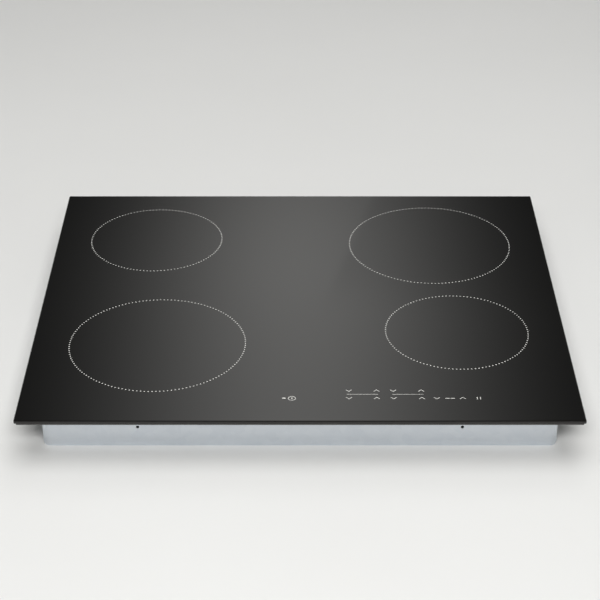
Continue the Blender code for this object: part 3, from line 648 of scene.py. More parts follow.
def moulded_block(maker: Maker, low: Vector, high: Vector, edge: float) -> None:
    """A block with round upright edges and a chamfer above and below, as it leaves a mould.

    Args:
        maker: the mesh to add to.
        low: its lowest corner.
        high: its highest corner.
        edge: the size of the rounding.
    """
    rings = []
    for inset, z in ((edge, low.z), (0.0, low.z + edge), (0.0, high.z - edge), (edge, high.z)):
        outline = rounded_rectangle(
            (low.x + inset, low.y + inset), (high.x - inset, high.y - inset), 1.2 * edge, steps=2
        )
        rings.append(at_height(outline, z))
    skin(maker, rings)


def tube(maker: Maker, path: Sequence[Vector], radius: float, sides: int = 6) -> None:
    """A round wire along a path that never runs straight up.

    Args:
        maker: the mesh to add to.
        path: the points of its middle line.
        radius: the wire's radius.
        sides: sides round the wire.
    """
    rings = []
    for i, point in enumerate(path):
        along = (path[min(i + 1, len(path) - 1)] - path[max(i - 1, 0)]).normalized()
        across = along.cross(Vector((0, 0, 1))).normalized()
        up = across.cross(along)
        rings.append([point + across * x + up * y for x, y in circle(radius, count=sides)])
    skin(maker, rings)


def prism(maker: Maker, outline: Iterable[Point], low: float, high: float, place: Matrix) -> None:
    """Raises an outline from low to high, and then moves it to its place."""
    points = list(outline)
    skin(maker, [[place @ point for point in at_height(points, z)] for z in (low, high)])


def cut(target: bpy.types.Object, tool_maker: Maker) -> None:
    """Cuts a closed mesh out of a piece.

    Args:
        target: the piece.
        tool_maker: what is cut away, which is used up.
    """
    bmesh.ops.recalc_face_normals(tool_maker, faces=tool_maker.faces)
    tool = put("tool", finished_mesh("tool", tool_maker))
    boolean = target.modifiers.new("cut", "BOOLEAN")
    boolean.operation, boolean.object, boolean.solver = "DIFFERENCE", tool, "EXACT"
    bpy.context.view_layer.update()
    result = bpy.data.meshes.new_from_object(target.evaluated_get(bpy.context.evaluated_depsgraph_get()))
    target.modifiers.clear()
    target.data = result
    target.data.shade_smooth()
    target.data.set_sharp_from_angle(angle=math.radians(35))
    bpy.data.objects.remove(tool)


def middle_of(node: str) -> Vector:
    """The middle of a CAD node's box."""
    low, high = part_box(node)
    return (low + high) / 2


# ---- The glass and its print -------------------------------------------------------------------


class Zone(Enum):
    """The four cooking zones."""

    FRONT_LEFT = "front_left"
    FRONT_RIGHT = "front_right"
    REAR_LEFT = "rear_left"
    REAR_RIGHT = "rear_right"


class Mark(Enum):
    """The marks that are printed over the touch controls."""

    DOWN = "down"
    UP = "up"
    LINE = "line"
    DASH = "dash"
    POWER = "power"
    DOME = "dome"
    PAUSE = "pause"


@dataclass
class ZonePrint:
    """The ring of dots round one cooking zone."""

    zone: Zone
    ring_outside_winding: float = 7.5 * MM
    dot_pitch: float = 4.13 * MM
    dot_radius: float = 0.78 * MM
    ink: float = 0.02 * MM
    sides: int = 10

    def build(self) -> bpy.types.Object:
        """Lays the dots on the glass as low domes of ink."""
        low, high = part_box(f"winding_{self.zone.value}")
        centre = (low + high) / 2
        radius = (high.x - low.x) / 2 + self.ring_outside_winding
        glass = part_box("glass_top")[1].z
        count = round(FULL_TURN * radius / self.dot_pitch)
        maker = bmesh.new()
        for i in range(count):
            angle = FULL_TURN * i / count
            middle = (centre.x + radius * math.cos(angle), centre.y + radius * math.sin(angle))
            skin(maker, [
                at_height(circle(self.dot_radius, middle, self.sides), glass - self.ink),
                at_height(circle(self.dot_radius, middle, self.sides), glass + 0.6 * self.ink),
                at_height(circle(0.8 * self.dot_radius, middle, self.sides), glass + self.ink),
            ])
        return piece(f"zone_dots_{self.zone.value}", maker, FIRED_INK)


@dataclass
class KeyPrint:
    """The printed marks of the touch controls, placed from the middle and the front edge of the glass."""

    stroke: float = 0.68 * MM
    ink: float = 0.02 * MM
    front_row: float = 43.4 * MM
    rear_row: float = 57.9 * MM
    line_row: float = 50.8 * MM
    chevron_width: float = 6.2 * MM
    chevron_rise: float = 3.0 * MM
    power_radius: float = 4.1 * MM
    pause_height: float = 4.6 * MM
    pause_gap: float = 3.4 * MM
    dash_length: float = 4.4 * MM
    line_half: float = 16.6 * MM
    dome_radius: float = 2.2 * MM
    dome_rise: float = 2.0 * MM
    marks: dict[str, list[tuple[Mark, float, float]]] = field(default_factory=dict)

    def __post_init__(self) -> None:
        """Lists each key's marks, with where they start along X and how far they run."""
        front, rear = self.front_row, self.rear_row
        self.marks = {
            "key_power": [
                (Mark.POWER, -8.6 * MM, front - 0.4 * MM), (Mark.DOME, -17.0 * MM, front - 0.4 * MM),
            ],
            "keys_left_zones": [
                (Mark.DOWN, 52.0 * MM, rear), (Mark.DOWN, 52.0 * MM, front), (Mark.UP, 81.4 * MM, rear),
                (Mark.UP, 81.4 * MM, front), (Mark.LINE, 66.3 * MM, self.line_row),
            ],
            "keys_right_zones": [
                (Mark.DOWN, 99.2 * MM, rear), (Mark.DOWN, 99.2 * MM, front), (Mark.UP, 128.9 * MM, rear),
                (Mark.UP, 128.9 * MM, front), (Mark.LINE, 114.3 * MM, self.line_row),
            ],
            "keys_timer": [
                (Mark.DOWN, 144.8 * MM, front), (Mark.UP, 172.2 * MM, front),
                (Mark.DASH, 156.0 * MM, front - 0.4 * MM), (Mark.DASH, 161.6 * MM, front - 0.4 * MM),
            ],
            "key_pause": [(Mark.PAUSE, 189.2 * MM, front)],
        }

    def build(self) -> list[bpy.types.Object]:
        """Prints each key's marks as one piece."""
        front_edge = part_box("glass_top")[0].y
        made = []
        for name, marks in self.marks.items():
            maker = bmesh.new()
            for mark, x, back in marks:
                self.draw(maker, mark, Vector((x, front_edge + back, 0.0)))
            made.append(piece(name, maker, FIRED_INK))
        return made

    def draw(self, maker: Maker, mark: Mark, middle: Vector) -> None:
        """Draws one mark.

        Args:
            maker: the mesh to add to.
            mark: which mark it is.
            middle: the mark's middle on the glass.
        """
        half, rise = self.chevron_width / 2, self.chevron_rise / 2
        match mark:
            case Mark.DOWN:
                self.line(maker, middle, [(-half, rise), (0.0, -rise), (half, rise)])
            case Mark.UP:
                self.line(maker, middle, [(-half, -rise), (0.0, rise), (half, -rise)])
            case Mark.LINE:
                self.line(maker, middle, [(-self.line_half, 0.0), (self.line_half, 0.0)], 0.8)
            case Mark.DASH:
                self.line(maker, middle, [(-self.dash_length / 2, 0.0), (self.dash_length / 2, 0.0)], 1.6)
            case Mark.PAUSE:
                for side in (-1, 1):
                    x = side * self.pause_gap / 2
                    self.line(maker, middle, [(x, -self.pause_height / 2), (x, self.pause_height / 2)], 1.1)
            case Mark.POWER:
                ring = []
                for radius, z in ((self.power_radius, 0), (self.power_radius, 1),
                                  (self.power_radius - self.stroke, 1), (self.power_radius - self.stroke, 0)):
                    ring.append(at_height(circle(radius, (middle.x, middle.y), 36), self.ink_height(z)))
                skin(maker, ring, closed=True)
                self.line(maker, middle, [(0.0, -1.3 * MM), (0.0, 1.5 * MM)], 1.5)
            case Mark.DOME:
                turns = (math.pi * i / 10 for i in range(11))
                foot = middle.y - 0.6 * MM
                dome = [(middle.x + self.dome_radius * math.cos(a), foot + self.dome_rise * math.sin(a))
                        for a in turns]
                skin(maker, [at_height(dome, self.ink_height(side)) for side in (0, 1)])

    def ink_height(self, side: int) -> float:
        """The height of the ink's underside (0) or top (1)."""
        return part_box("glass_top")[1].z + (self.ink if side else -self.ink)

    def line(
        self, maker: Maker, middle: Vector, points: Sequence[Point], weight: float = 1.0
    ) -> None:
        """Draws a stroke of ink with mitred corners.

        Args:
            maker: the mesh to add to.
            middle: what the points are measured from.
            points: the stroke's middle line.
            weight: its width as a share of the usual stroke.
        """
        half = weight * self.stroke / 2
        path = [Vector(point) for point in points]
        sides: tuple[list[Point], list[Point]] = ([], [])
        for i, point in enumerate(path):
            before = (point - path[i - 1]).normalized() if i else (path[1] - point).normalized()
            after = (path[i + 1] - point).normalized() if i + 1 < len(path) else before
            normal = Vector((-(before + after).y, (before + after).x)).normalized()
            reach = half / max(normal.dot(Vector((-before.y, before.x))), 0.5)
            for side, sign in zip(sides, (1, -1)):
                edge = point + normal * reach * sign
                side.append((middle.x + edge.x, middle.y + edge.y))
        outline = sides[1] + sides[0][::-1]
        skin(maker, [at_height(outline, self.ink_height(side)) for side in (0, 1)])


# ---- The pan and its screws --------------------------------------------------------------------


@dataclass
class PressedPan:
    """The base pan, pressed and folded from zinc-coated sheet."""

    sheet: float = 0.8 * MM
    corner: float = 8.0 * MM
    bend: float = 0.9 * MM
    step: float = 0.6 * MM  # how far the wall steps in, just above the floor
    step_low: float = 1.5 * MM
    step_high: float = 2.7 * MM
    corner_steps: int = 9
    inlet_count: int = 7
    inlet_pitch: float = 8.0 * MM
    inlet_length: float = 30.0 * MM
    outlet_count: int = 12
    outlet_pitch: float = 9.0 * MM
    outlet_length: float = 16.0 * MM
    outlet_height: float = 18.0 * MM
    outlet_offset: float = 30.0 * MM
    slot_width: float = 3.5 * MM
    clamp_hole_below_mount: float = 8.7 * MM
    clamp_hole_radius: float = 1.75 * MM
    side_hole_radius: float = 2.2 * MM

    def build(self) -> bpy.types.Object:
        """Folds the pan with round bends and cuts its openings."""
        self.low, self.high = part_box("base_pan")
        low, high, top = self.step_low, self.step_high, self.high.z
        outside = fillet([
            (4 * MM, 0.0), (self.step, 0.0), (self.step, low), (0.0, high), (0.0, top),
        ], self.bend)
        inside = fillet([
            (self.sheet, top), (self.sheet, high + 0.3 * MM), (self.sheet + self.step, low + 0.3 * MM),
            (self.sheet + self.step, self.sheet), (4 * MM, self.sheet),
        ], 0.4 * self.bend)
        maker = bmesh.new()
        skin(maker, [at_height(self.outline(inset), z) for inset, z in outside + inside])
        pan = piece("pan_sheet", maker, ZINC_STEEL)
        for tool in (self.inlets(), self.outlets(), self.holes(), self.terminal_window()):
            cut(pan, tool)
        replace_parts(pan, "base_pan")
        return pan

    def outline(self, inset: float) -> list[Point]:
        """The pan's outline from above, moved in by the inset."""
        return rounded_rectangle(
            (self.low.x + inset, self.low.y + inset), (self.high.x - inset, self.high.y - inset),
            max(self.corner - inset, 1 * MM), self.corner_steps,
        )

    def slot(self, length: float) -> list[Point]:
        """A slot with round ends, its length along Y."""
        return rounded_rectangle(
            (-self.slot_width / 2, -length / 2), (self.slot_width / 2, length / 2), 0.499 * self.slot_width, 4
        )

    def inlets(self) -> Maker:
        """The air inlets in the floor, under each blower."""
        maker = bmesh.new()
        for side in ("left", "right"):
            fan = middle_of(f"fan_rotor_{side}")
            for i in range(self.inlet_count):
                x = fan.x + (i - (self.inlet_count - 1) / 2) * self.inlet_pitch
                prism(maker, self.slot(self.inlet_length), -2 * MM, 3 * MM, Matrix.Translation((x, fan.y, 0)))
        return maker

    def outlets(self) -> Maker:
        """The air outlets in the rear wall."""
        maker = bmesh.new()
        upright = Matrix.Rotation(math.radians(90), 4, "X")
        for side in ("left", "right"):
            start = middle_of(f"fan_rotor_{side}").x + self.outlet_offset
            for i in range(self.outlet_count):
                x = start + (i - (self.outlet_count - 1) / 2) * self.outlet_pitch
                place = Matrix.Translation((x, self.high.y, self.outlet_height)) @ upright
                prism(maker, self.slot(self.outlet_length), -3 * MM, 3 * MM, place)
        return maker

    def holes(self) -> Maker:
        """The clamp screws' holes in the front wall, and the frame screws' in the side walls."""
        maker = bmesh.new()
        to_front = Matrix.Rotation(math.radians(90), 4, "X")
        to_side = Matrix.Rotation(math.radians(90), 4, "Y")
        for mount in frame["record"]["mounts"]:
            if mount["name"].startswith("clamp_face"):
                x, y, z = mount["pos_m"]
                place = Matrix.Translation((x, y, z - self.clamp_hole_below_mount)) @ to_front
                prism(maker, circle(self.clamp_hole_radius), -3 * MM, 3 * MM, place)
        for side in ("left", "right"):
            for end in ("front", "rear"):
                screw = middle_of(f"side_screw_{side}_{end}")
                wall = self.low.x if side == "left" else self.high.x
                place = Matrix.Translation((wall, screw.y, screw.z)) @ to_side
                prism(maker, circle(self.side_hole_radius), -3 * MM, 3 * MM, place)
        return maker

    def terminal_window(self) -> Maker:
        """The window in the rear wall for the terminal box."""
        low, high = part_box("terminal_box")
        maker = bmesh.new()
        outline = rounded_rectangle(
            (low.x - TOUCH, low.z - TOUCH), (high.x + TOUCH, high.z + TOUCH), 0.2 * MM, 2
        )
        place = Matrix.Translation((0, self.high.y, 0)) @ Matrix.Rotation(math.radians(90), 4, "X")
        prism(maker, outline, -3 * MM, 3 * MM, place)
        return maker


@dataclass
class PanHeadScrew:
    """A pan-head screw with a cross recess."""

    name: str
    place: Matrix  # of the underside of its head, with +Z out of the head
    head_radius: float = 3.6 * MM
    head_height: float = 2.2 * MM
    shank_radius: float = 1.9 * MM
    shank_length: float = 6.0 * MM
    recess: float = 0.62
    finish: Finish = PLATED_SCREW
    body: str = "housing"

    def build(self) -> bpy.types.Object:
        """Turns the screw and cuts the cross into its head."""
        radius, height = self.head_radius, self.head_height
        crown = fillet(
            [(radius, 0.0), (radius, 0.5 * height), (0.55 * radius, height), (0.2 * MM, height)], radius
        )
        profile = [(0.0001, -self.shank_length), (0.8 * self.shank_radius, -self.shank_length)]
        turns = int(self.shank_length / (0.8 * MM))
        for i in range(turns):  # the thread, as rings
            z = -self.shank_length + (i + 0.5) * self.shank_length / turns
            profile += [(self.shank_radius, z), (0.78 * self.shank_radius, z + 0.35 * MM)]
        profile += [(self.shank_radius, 0.0), *crown]
        maker = bmesh.new()
        turned(maker, profile, self.place, count=20)
        screw = piece(self.name, maker, self.finish, self.body)
        arm, width = self.recess * radius, 0.16 * radius
        for quarter in (0, 1):
            turn = self.place @ Matrix.Rotation(math.radians(90) * quarter, 4, "Z")
            rings = []
            for z, share in ((0.45 * height, 0.35), (height + 1 * MM, 1.2)):
                reach = arm * share
                corners = [(-reach, -width), (reach, -width), (reach, width), (-reach, width)]
                rings.append([turn @ point for point in at_height(corners, z)])
            tool = bmesh.new()
            skin(tool, rings)
            cut(screw, tool)
        return screw


def build_side_screws() -> None:
    """Puts the four screws in the pan's side walls."""
    for side, turn in (("left", -90), ("right", 90)):
        for end in ("front", "rear"):
            node = f"side_screw_{side}_{end}"
            low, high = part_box(node)
            head = high.x - 2.2 * MM if side == "right" else low.x + 2.2 * MM
            place = Matrix.Translation((head, (low.y + high.y) / 2, (low.z + high.z) / 2))
            screw = PanHeadScrew(f"screw_{side}_{end}", place @ Matrix.Rotation(math.radians(turn), 4, "Y"))
            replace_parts(screw.build(), node)


# ---- The mains terminal ------------------------------------------------------------------------


@dataclass
class Terminal:
    """What is on the mains terminal: the clamp screws, and the ribs and latch of its lid."""

    poles: int = 5
    screw_radius: float = 2.1 * MM
    rib_height: float = 0.7 * MM
    rib_count: int = 5
    rib_pitch: float = 1.9 * MM
    rib_half_length: float = 14.0 * MM
    grip_place: float = 0.36  # where the ribs and the latch are, as a share of the lid's width
    latch_width: float = 12.0 * MM

    def build(self) -> None:
        """Adds the screws, the ribs and the latch."""
        self.pole_screws()
        self.clamp_screws()
        self.lid_ribs()

    def pole_screws(self) -> None:
        """A slotted brass screw in each pole of the block."""
        low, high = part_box("terminal_block")
        for i in range(self.poles):
            x = low.x + (i + 0.5) * (high.x - low.x) / self.poles
            place = Matrix.Translation((x, (low.y + high.y) / 2, high.z - 3.2 * MM))
            PanHeadScrew(
                f"pole_screw_{i + 1}", place, self.screw_radius, 2.0 * MM, 1.3 * MM, 1.2 * MM,
                finish=TURNED_BRASS,
            ).build()

    def clamp_screws(self) -> None:
        """The two screws that hold the cable clamp's bridge down, on its shoulders."""
        low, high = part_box("cable_clamp")
        for side, x in (("left", low.x + 1.9 * MM), ("right", high.x - 1.9 * MM)):
            place = Matrix.Translation((x, (low.y + high.y) / 2, low.z + 8.6 * MM))
            PanHeadScrew(
                f"clamp_screw_{side}", place, 1.6 * MM, 1.1 * MM, 0.8 * MM, 1.0 * MM
            ).build()

    def lid_ribs(self) -> None:
        """Grip ribs on the lid's outer face, and a latch at its lower edge."""
        low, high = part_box("terminal_cover")
        outer = high.y
        maker = bmesh.new()
        middle = low.x + self.grip_place * (high.x - low.x)
        for i in range(self.rib_count):
            z = low.z + 3.0 * MM + i * self.rib_pitch
            moulded_block(
                maker, Vector((middle - self.rib_half_length, outer - 0.3 * MM, z)),
                Vector((middle + self.rib_half_length, outer + self.rib_height, z + 0.9 * MM)), 0.25 * MM,
            )
        piece("lid_ribs", maker, BLACK_NYLON, "cover")
        latch = bmesh.new()
        moulded_block(
            latch, Vector((middle - self.latch_width / 2, outer - 1.6 * MM, low.z)),
            Vector((middle + self.latch_width / 2, outer + 1.1 * MM, low.z + 1.8 * MM)), 0.35 * MM,
        )
        piece("lid_latch", latch, BLACK_NYLON, "cover")


# ---- The coils ---------------------------------------------------------------------------------


@dataclass
class Coil:
    """One floating coil: its litz spiral, ferrite bars and springs."""

    zone: Zone
    wire: float = 3.86 * MM
    wire_gap: float = 0.06 * MM
    eye_radius: float = 22.0 * MM  # the open middle of the spiral
    points_per_turn: int = 40
    ring_inner: float = 16.2 * MM
    ring_outer: float = 22.8 * MM
    bar_width: float = 13.4 * MM
    bar_start: float = 23.5 * MM
    bars_large: int = 9
    bars_small: int = 6
    large_reach: float = 80.0 * MM  # a coil that reaches further has the larger number of bars
    spring_wire: float = 0.5 * MM
    spring_turns: float = 3.75
    travel: float = 3.0 * MM

    def build(self) -> None:
        """Winds the coil, glues on the bars and stands it on its springs."""
        self.body = f"coil_{self.zone.value}"
        self.winding()
        self.bars()
        self.springs()

    def winding(self) -> None:
        """The litz cord in a flat spiral, with its two ends."""
        node = f"winding_{self.zone.value}"
        low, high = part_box(node)
        centre, outer = (low + high) / 2, (high.x - low.x) / 2
        inner = self.eye_radius
        turns = (outer - inner - self.wire) / (self.wire + self.wire_gap)
        steps = int(turns * self.points_per_turn)
        path = []
        for i in range(steps + 1):
            angle = FULL_TURN * i / self.points_per_turn
            radius = inner + self.wire / 2 + (outer - inner - self.wire) * i / steps
            path.append(centre + Vector((radius * math.cos(angle), radius * math.sin(angle), 0.0)))
        maker = bmesh.new()
        tube(maker, path, self.wire / 2, 8)
        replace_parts(piece(f"litz_{self.zone.value}", maker, COPPER_LITZ, self.body, 60), node)

    def bars(self) -> None:
        """Ferrite bars round a ferrite ring."""
        node = f"ferrites_{self.zone.value}"
        low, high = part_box(node)
        centre = middle_of(f"winding_{self.zone.value}")
        reach = high.x - centre.x
        count = self.bars_large if reach > self.large_reach else self.bars_small
        maker = bmesh.new()
        upright = Matrix.Translation((centre.x, centre.y, 0))
        inner, outer = self.ring_inner, self.ring_outer
        ring = [(inner, low.z), (outer, low.z), (outer, high.z), (inner, high.z)]
        turned(maker, ring, upright, 32, closed=True)
        for i in range(count):
            bar = bmesh.new()
            moulded_block(bar, Vector((self.bar_start, -self.bar_width / 2, low.z)),
                          Vector((reach - 0.4 * MM, self.bar_width / 2, high.z)), 0.5 * MM)
            turn = upright @ Matrix.Rotation(FULL_TURN * i / count, 4, "Z")
            bmesh.ops.transform(bar, matrix=turn, verts=bar.verts)
            held = finished_mesh("bar", bar)
            maker.from_mesh(held)
            bpy.data.meshes.remove(held)
        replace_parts(piece(f"ferrite_bars_{self.zone.value}", maker, FERRITE, self.body), node)

    def springs(self) -> None:
        """Three helical springs with closed ends."""
        nodes = sorted(name for name in frame["nodes"] if name.startswith(f"spring_{self.zone.value}"))
        maker = bmesh.new()
        for node in nodes:
            low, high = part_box(node)
            centre, radius = (low + high) / 2, (high.x - low.x) / 2 - self.spring_wire
            bottom, top = low.z + self.spring_wire, high.z - self.spring_wire
            path = []
            steps = int(self.spring_turns * 20)
            for i in range(steps + 1):
                share = i / steps
                rise = min(max((share - 0.12) / 0.76, 0.0), 1.0)  # the end turns lie flat
                angle = FULL_TURN * i / 20
                path.append(Vector((
                    centre.x + radius * math.cos(angle), centre.y + radius * math.sin(angle),
                    bottom + (top - bottom) * rise + 0.4 * MM * (share - 0.5),
                )))
            tube(maker, path, self.spring_wire, 8)
        made = piece(f"coil_springs_{self.zone.value}", maker, SPRING_WIRE, "housing", 60)
        low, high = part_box(nodes[0])
        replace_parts(made, *nodes)
        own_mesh(made)


# ---- Electronics -------------------------------------------------------------------------------


@dataclass
class InverterBoard:
    """The parts on one power board."""

    side: str
    can_radius: float = 8.0 * MM
    can_height: float = 19.0 * MM
    can_pitch: float = 19.0 * MM
    film_pitch: float = 42.0 * MM
    transistor_pitch: float = 34.0 * MM
    leg_pitch: float = 4.9 * MM
    chip_leg_pitch: float = 1.0 * MM
    connector_pitch: float = 26.0 * MM
    pin_pitch: float = 3.75 * MM

    def build(self) -> None:
        """Places the capacitors, transistors, chips and connectors."""
        low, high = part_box(f"inverter_board_{self.side}")
        sink_low, sink_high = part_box(f"heat_sink_{self.side}")
        self.top = high.z
        self.film_capacitors(sink_low.x - 46 * MM, sink_low.y + 10 * MM)
        self.can_capacitors(sink_high.x + 14 * MM, sink_low.y + 20 * MM)
        self.transistors(sink_low.x - 3 * MM, sink_low.y + 12 * MM)
        self.chips(low.x + 12 * MM, high.y - 66 * MM)
        self.connectors(sink_low.x - 50 * MM, high.y - 14 * MM)

    def block(self, maker: Maker, corner: Sequence[float], size_mm: Sequence[float], edge_mm: float) -> None:
        """Adds a moulded block.

        Args:
            maker: the mesh to add to.
            corner: its lowest corner, with its height above the board.
            size_mm: its size along X, Y and Z.
            edge_mm: the size of its rounding.
        """
        low = Vector(corner) + Vector((0, 0, self.top))
        moulded_block(maker, low, low + Vector(size_mm) * MM, edge_mm * MM)

    def film_capacitors(self, x: float, y: float) -> None:
        """Two film capacitors, one behind the other.

        Args:
            x: where their left sides are.
            y: where the front one starts.
        """
        maker = bmesh.new()
        for i in range(2):
            self.block(maker, (x, y + i * self.film_pitch, 0), (20, 34, 17), 1.0)
        piece(f"film_capacitors_{self.side}", maker, YELLOW_CASE)

    def can_capacitors(self, x: float, y: float) -> None:
        """Three electrolytic capacitors with a crimp round the foot and a dished top.

        Args:
            x: where their middles are.
            y: where the front one has its middle.
        """
        radius, height = self.can_radius, self.can_height
        profile = [
            (0.2 * MM, 0.0), (0.94 * radius, 0.0), (radius, 0.6 * MM), (radius, 2.2 * MM),
            (0.92 * radius, 2.9 * MM), (radius, 3.6 * MM), (radius, height - 0.8 * MM),
            (0.93 * radius, height), (0.80 * radius, height), (0.74 * radius, height - 0.5 * MM),
            (0.2 * MM, height - 0.5 * MM),
        ]
        maker = bmesh.new()
        for i in range(3):
            turned(maker, profile, Matrix.Translation((x, y + i * self.can_pitch, self.top)), 28)
        piece(f"can_capacitors_{self.side}", maker, EPOXY_BODY)

    def transistors(self, x: float, y: float) -> None:
        """Four power transistors that lean on the heat sink's side.

        Args:
            x: where their middles are.
            y: where the front one starts.
        """
        bodies, legs = bmesh.new(), bmesh.new()
        for i in range(4):
            start = y + i * self.transistor_pitch
            self.block(bodies, (x - 2.4 * MM, start, 4 * MM), (4.8, 15, 15), 0.5)
            for leg in range(3):
                at = start + 2.0 * MM + leg * self.leg_pitch
                self.block(legs, (x - 0.4 * MM, at, 0), (0.8, 1.2, 4.2), 0.15)
        piece(f"transistors_{self.side}", bodies, EPOXY_BODY)
        piece(f"transistor_legs_{self.side}", legs, PLATED_SCREW)

    def chips(self, left: float, front: float) -> None:
        """A controller chip with its legs, and rows of small parts beside it.

        Args:
            left: the chip's left side.
            front: the chip's front side.
        """
        bodies, legs = bmesh.new(), bmesh.new()
        self.block(bodies, (left, front, 0.2 * MM), (12, 12, 1.5), 0.3)
        for i in range(10):
            for side in (-1, 1):
                x, y = left + 1.3 * MM + i * self.chip_leg_pitch, front + (5.2 + side * 6.7) * MM
                self.block(legs, (x, y, 0), (0.4, 1.6, 0.8), 0.08)
        for row in range(3):
            for i in range(8):
                x, y = left + (17 + 3.4 * i) * MM, front + 5 * MM * row
                self.block(bodies, (x, y, 0), (1.3, 2.4, 0.7), 0.12)
        piece(f"chips_{self.side}", bodies, EPOXY_BODY)
        piece(f"chip_legs_{self.side}", legs, PLATED_SCREW)

    def connectors(self, left: float, front: float) -> None:
        """Two pin headers.

        Args:
            left: the first one's left side.
            front: their front sides.
        """
        shells, pins = bmesh.new(), bmesh.new()
        for i in range(2):
            x = left + i * self.connector_pitch
            self.block(shells, (x, front, 0), (20, 6, 7), 0.5)
            for pin in range(5):
                at = x + 2.1 * MM + pin * self.pin_pitch
                self.block(pins, (at, front + 2.6 * MM, 6 * MM), (0.8, 0.8, 4.0), 0.1)
        piece(f"connectors_{self.side}", shells, CREAM_POLYAMIDE)
        piece(f"connector_pins_{self.side}", pins, TURNED_BRASS)


@dataclass
class TouchBoard:
    """The springs that carry the touch keys to the glass, on the control board."""

    key_xs: tuple[float, ...] = (-0.009, 0.052, 0.0815, 0.099, 0.129, 0.145, 0.172, 0.189)
    rear_key_xs: tuple[float, ...] = (0.052, 0.0815, 0.099, 0.129)
    front_y: float = -0.2180
    rear_y: float = -0.2025
    foot_radius: float = 2.3 * MM
    taper: float = 0.5 * MM  # how much narrower the spring is at the glass
    wire_radius: float = 0.25 * MM
    end_gap: float = 0.35 * MM
    turns: int = 4
    points_per_turn: int = 15

    def build(self) -> None:
        """Stands a small coil spring in each well of the key frame."""
        bottom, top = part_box("control_board")[1].z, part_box("key_frame")[1].z
        keys = [(x, self.front_y) for x in self.key_xs] + [(x, self.rear_y) for x in self.rear_key_xs]
        maker = bmesh.new()
        steps = self.turns * self.points_per_turn
        for x, y in keys:
            path = []
            for i in range(steps + 1):
                share, angle = i / steps, FULL_TURN * i / self.points_per_turn
                radius = self.foot_radius - self.taper * share
                path.append(Vector((
                    x + radius * math.cos(angle), y + radius * math.sin(angle),
                    bottom + self.end_gap + (top - bottom - 2 * self.end_gap) * share,
                )))
            tube(maker, path, self.wire_radius, 5)
        piece("touch_springs", maker, SPRING_WIRE, "housing", 60)


# ---- Studio ------------------------------------------------------------------------------------


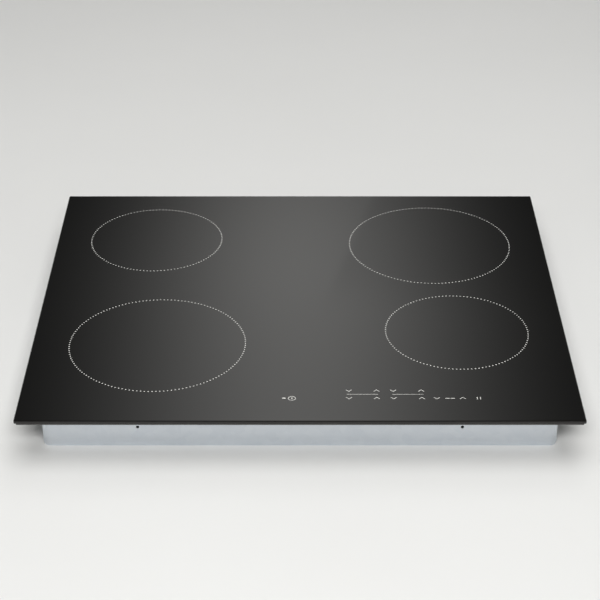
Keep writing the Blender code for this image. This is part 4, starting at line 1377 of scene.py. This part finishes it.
@dataclass
class Studio:
    """A pale floor, soft light and the camera."""

    lens: float = 106.3
    camera_place: tuple[float, float, float] = (0.0, -1.7883, 1.0775)
    camera_down: float = 29.954
    floor_size: float = 60.0
    strip_spread: float = 0.1215  # half-width of a strip light's soft edge, across the glass's mirror image
    strip_strength: float = 1.2
    flag_across: float = 0.892  # slant of the flag that dims one side of a strip
    flag_up: float = 0.452
    horizon_strength: float = 0.90
    room_strength: float = 0.015

    def build(self) -> None:
        """Sets up the floor, the lights, the sky and the camera."""
        self.floor()
        self.lights()
        self.surroundings()
        self.camera()
        bpy.context.scene.view_settings.view_transform = "Standard"

    def floor(self) -> None:
        """A pale floor that reaches the horizon."""
        maker = bmesh.new()
        bmesh.ops.create_grid(maker, x_segments=4, y_segments=4, size=self.floor_size / 2)
        mesh = finished_mesh("floor", maker)
        mesh.materials.append(PALE_PAINT.material())
        put("floor", mesh)

    def lights(self) -> None:
        """Large soft boxes, all well above the height whose mirror image the glass shows from the front."""
        for name, place, size, power in (
            ("overhead_softbox", (0.0, -0.2, 2.6), 2.4, 44.0),
            ("front_softbox", (0.0, -2.3, 1.9), 0.5, 50.0),
            ("rear_softbox", (0.5, 2.4, 2.9), 1.6, 14.0),
        ):
            data = bpy.data.lights.new(name, "AREA")
            data.shape = "RECTANGLE"
            data.size, data.size_y, data.energy = max(size, 1.6), size, power
            light = put(name, data)
            light.location = place
            light.rotation_euler = (Vector((0, 0, 0.03)) - Vector(place)).to_track_quat("-Z", "Y").to_euler()
            light.visible_camera = False

    def surroundings(self) -> None:
        """A pale horizon under a dark room, with tall soft strip lights all round for the glass to mirror."""
        world = bpy.data.worlds.new("studio")
        bpy.context.scene.world = world
        world.use_nodes = True
        tree = world.node_tree
        tree.nodes.clear()

        def math_node(operation: str, first: object, second: object = None) -> Socket:
            """Adds a Math node.

            Args:
                operation: what it works out.
                first: a socket or a number.
                second: another one, where the operation takes two.

            Returns:
                Its result.
            """
            given = {i: value for i, value in enumerate((first, second)) if value is not None}
            links = {i: value for i, value in given.items() if isinstance(value, Socket)}
            values = {i: value for i, value in given.items() if i not in links}
            return add_node(tree, "ShaderNodeMath", links, values, operation=operation).outputs[0]

        def ramp(value: Socket, start: float, end: float) -> Socket:
            """Adds a smooth step from 0 at start to 1 at end, in degrees, and returns its result."""
            return add_node(
                tree, "ShaderNodeMapRange", {"Value": value},
                {"From Min": math.radians(start), "From Max": math.radians(end)},
                interpolation_type="SMOOTHSTEP",
            ).outputs[0]

        way = add_node(tree, "ShaderNodeTexCoord").outputs["Generated"]
        split = add_node(tree, "ShaderNodeSeparateXYZ", {0: way})
        height = math_node("ARCSINE", split.outputs["Z"])
        round_about = math_node("ARCTAN2", split.outputs["X"], split.outputs["Y"])
        eighth = math.radians(22.5)
        near = add_node(
            tree, "ShaderNodeMath", {0: round_about}, {1: eighth, 2: -eighth}, operation="WRAP"
        ).outputs[0]
        reach = math_node("DIVIDE", math_node("SINE", near), math_node("TANGENT", height))
        off = math_node("DIVIDE", reach, self.strip_spread)
        strip = math_node("EXPONENT", math_node("MULTIPLY", math_node("MULTIPLY", off, off), -0.5))
        across = math_node("MULTIPLY", near, self.flag_across)
        slant = math_node("ADD", across, math_node("MULTIPLY", height, self.flag_up))
        flag = math_node("MULTIPLY", ramp(slant, 14.2, 14.6), ramp(height, 30.6, 28.6))
        flagged = math_node("MULTIPLY", strip, math_node("SUBTRACT", 1.06, math_node("MULTIPLY", flag, 0.14)))
        low_part = math_node("MULTIPLY", ramp(height, 7.0, 12.0), ramp(height, 22.0, 17.0))
        high_part = math_node("MULTIPLY", ramp(height, 20.0, 30.0), ramp(height, 50.0, 38.0))
        tall = math_node("ADD", math_node("MULTIPLY", low_part, 0.7), high_part)
        strips = math_node("MULTIPLY", math_node("MULTIPLY", flagged, tall), self.strip_strength)
        horizon = math_node("MULTIPLY", ramp(height, 15.0, 6.0), self.horizon_strength)
        light = math_node("ADD", math_node("ADD", strips, horizon), self.room_strength)
        sky = add_node(tree, "ShaderNodeBackground", {"Strength": light}, {"Color": linear("#FFFEFB")})
        add_node(tree, "ShaderNodeOutputWorld", {"Surface": sky.outputs[0]})

    def camera(self) -> None:
        """The camera, in front of the hob and looking down at it."""
        data = bpy.data.cameras.new("camera")
        data.lens, data.sensor_width = self.lens, 36.0
        camera = put("camera", data)
        camera.location = self.camera_place
        camera.rotation_euler = (math.radians(90 - self.camera_down), 0.0, 0.0)
        bpy.context.scene.camera = camera


def main() -> None:
    """Builds the hob and the studio round it."""
    logging.basicConfig(level=logging.INFO, format="%(name)s: %(message)s")
    dress_frame()
    for zone in Zone:
        ZonePrint(zone).build()
        Coil(zone).build()
    KeyPrint().build()
    PressedPan().build()
    build_side_screws()
    Terminal().build()
    for side in ("left", "right"):
        InverterBoard(side).build()
    TouchBoard().build()
    Studio().build()


if __name__ == "__main__":
    main()
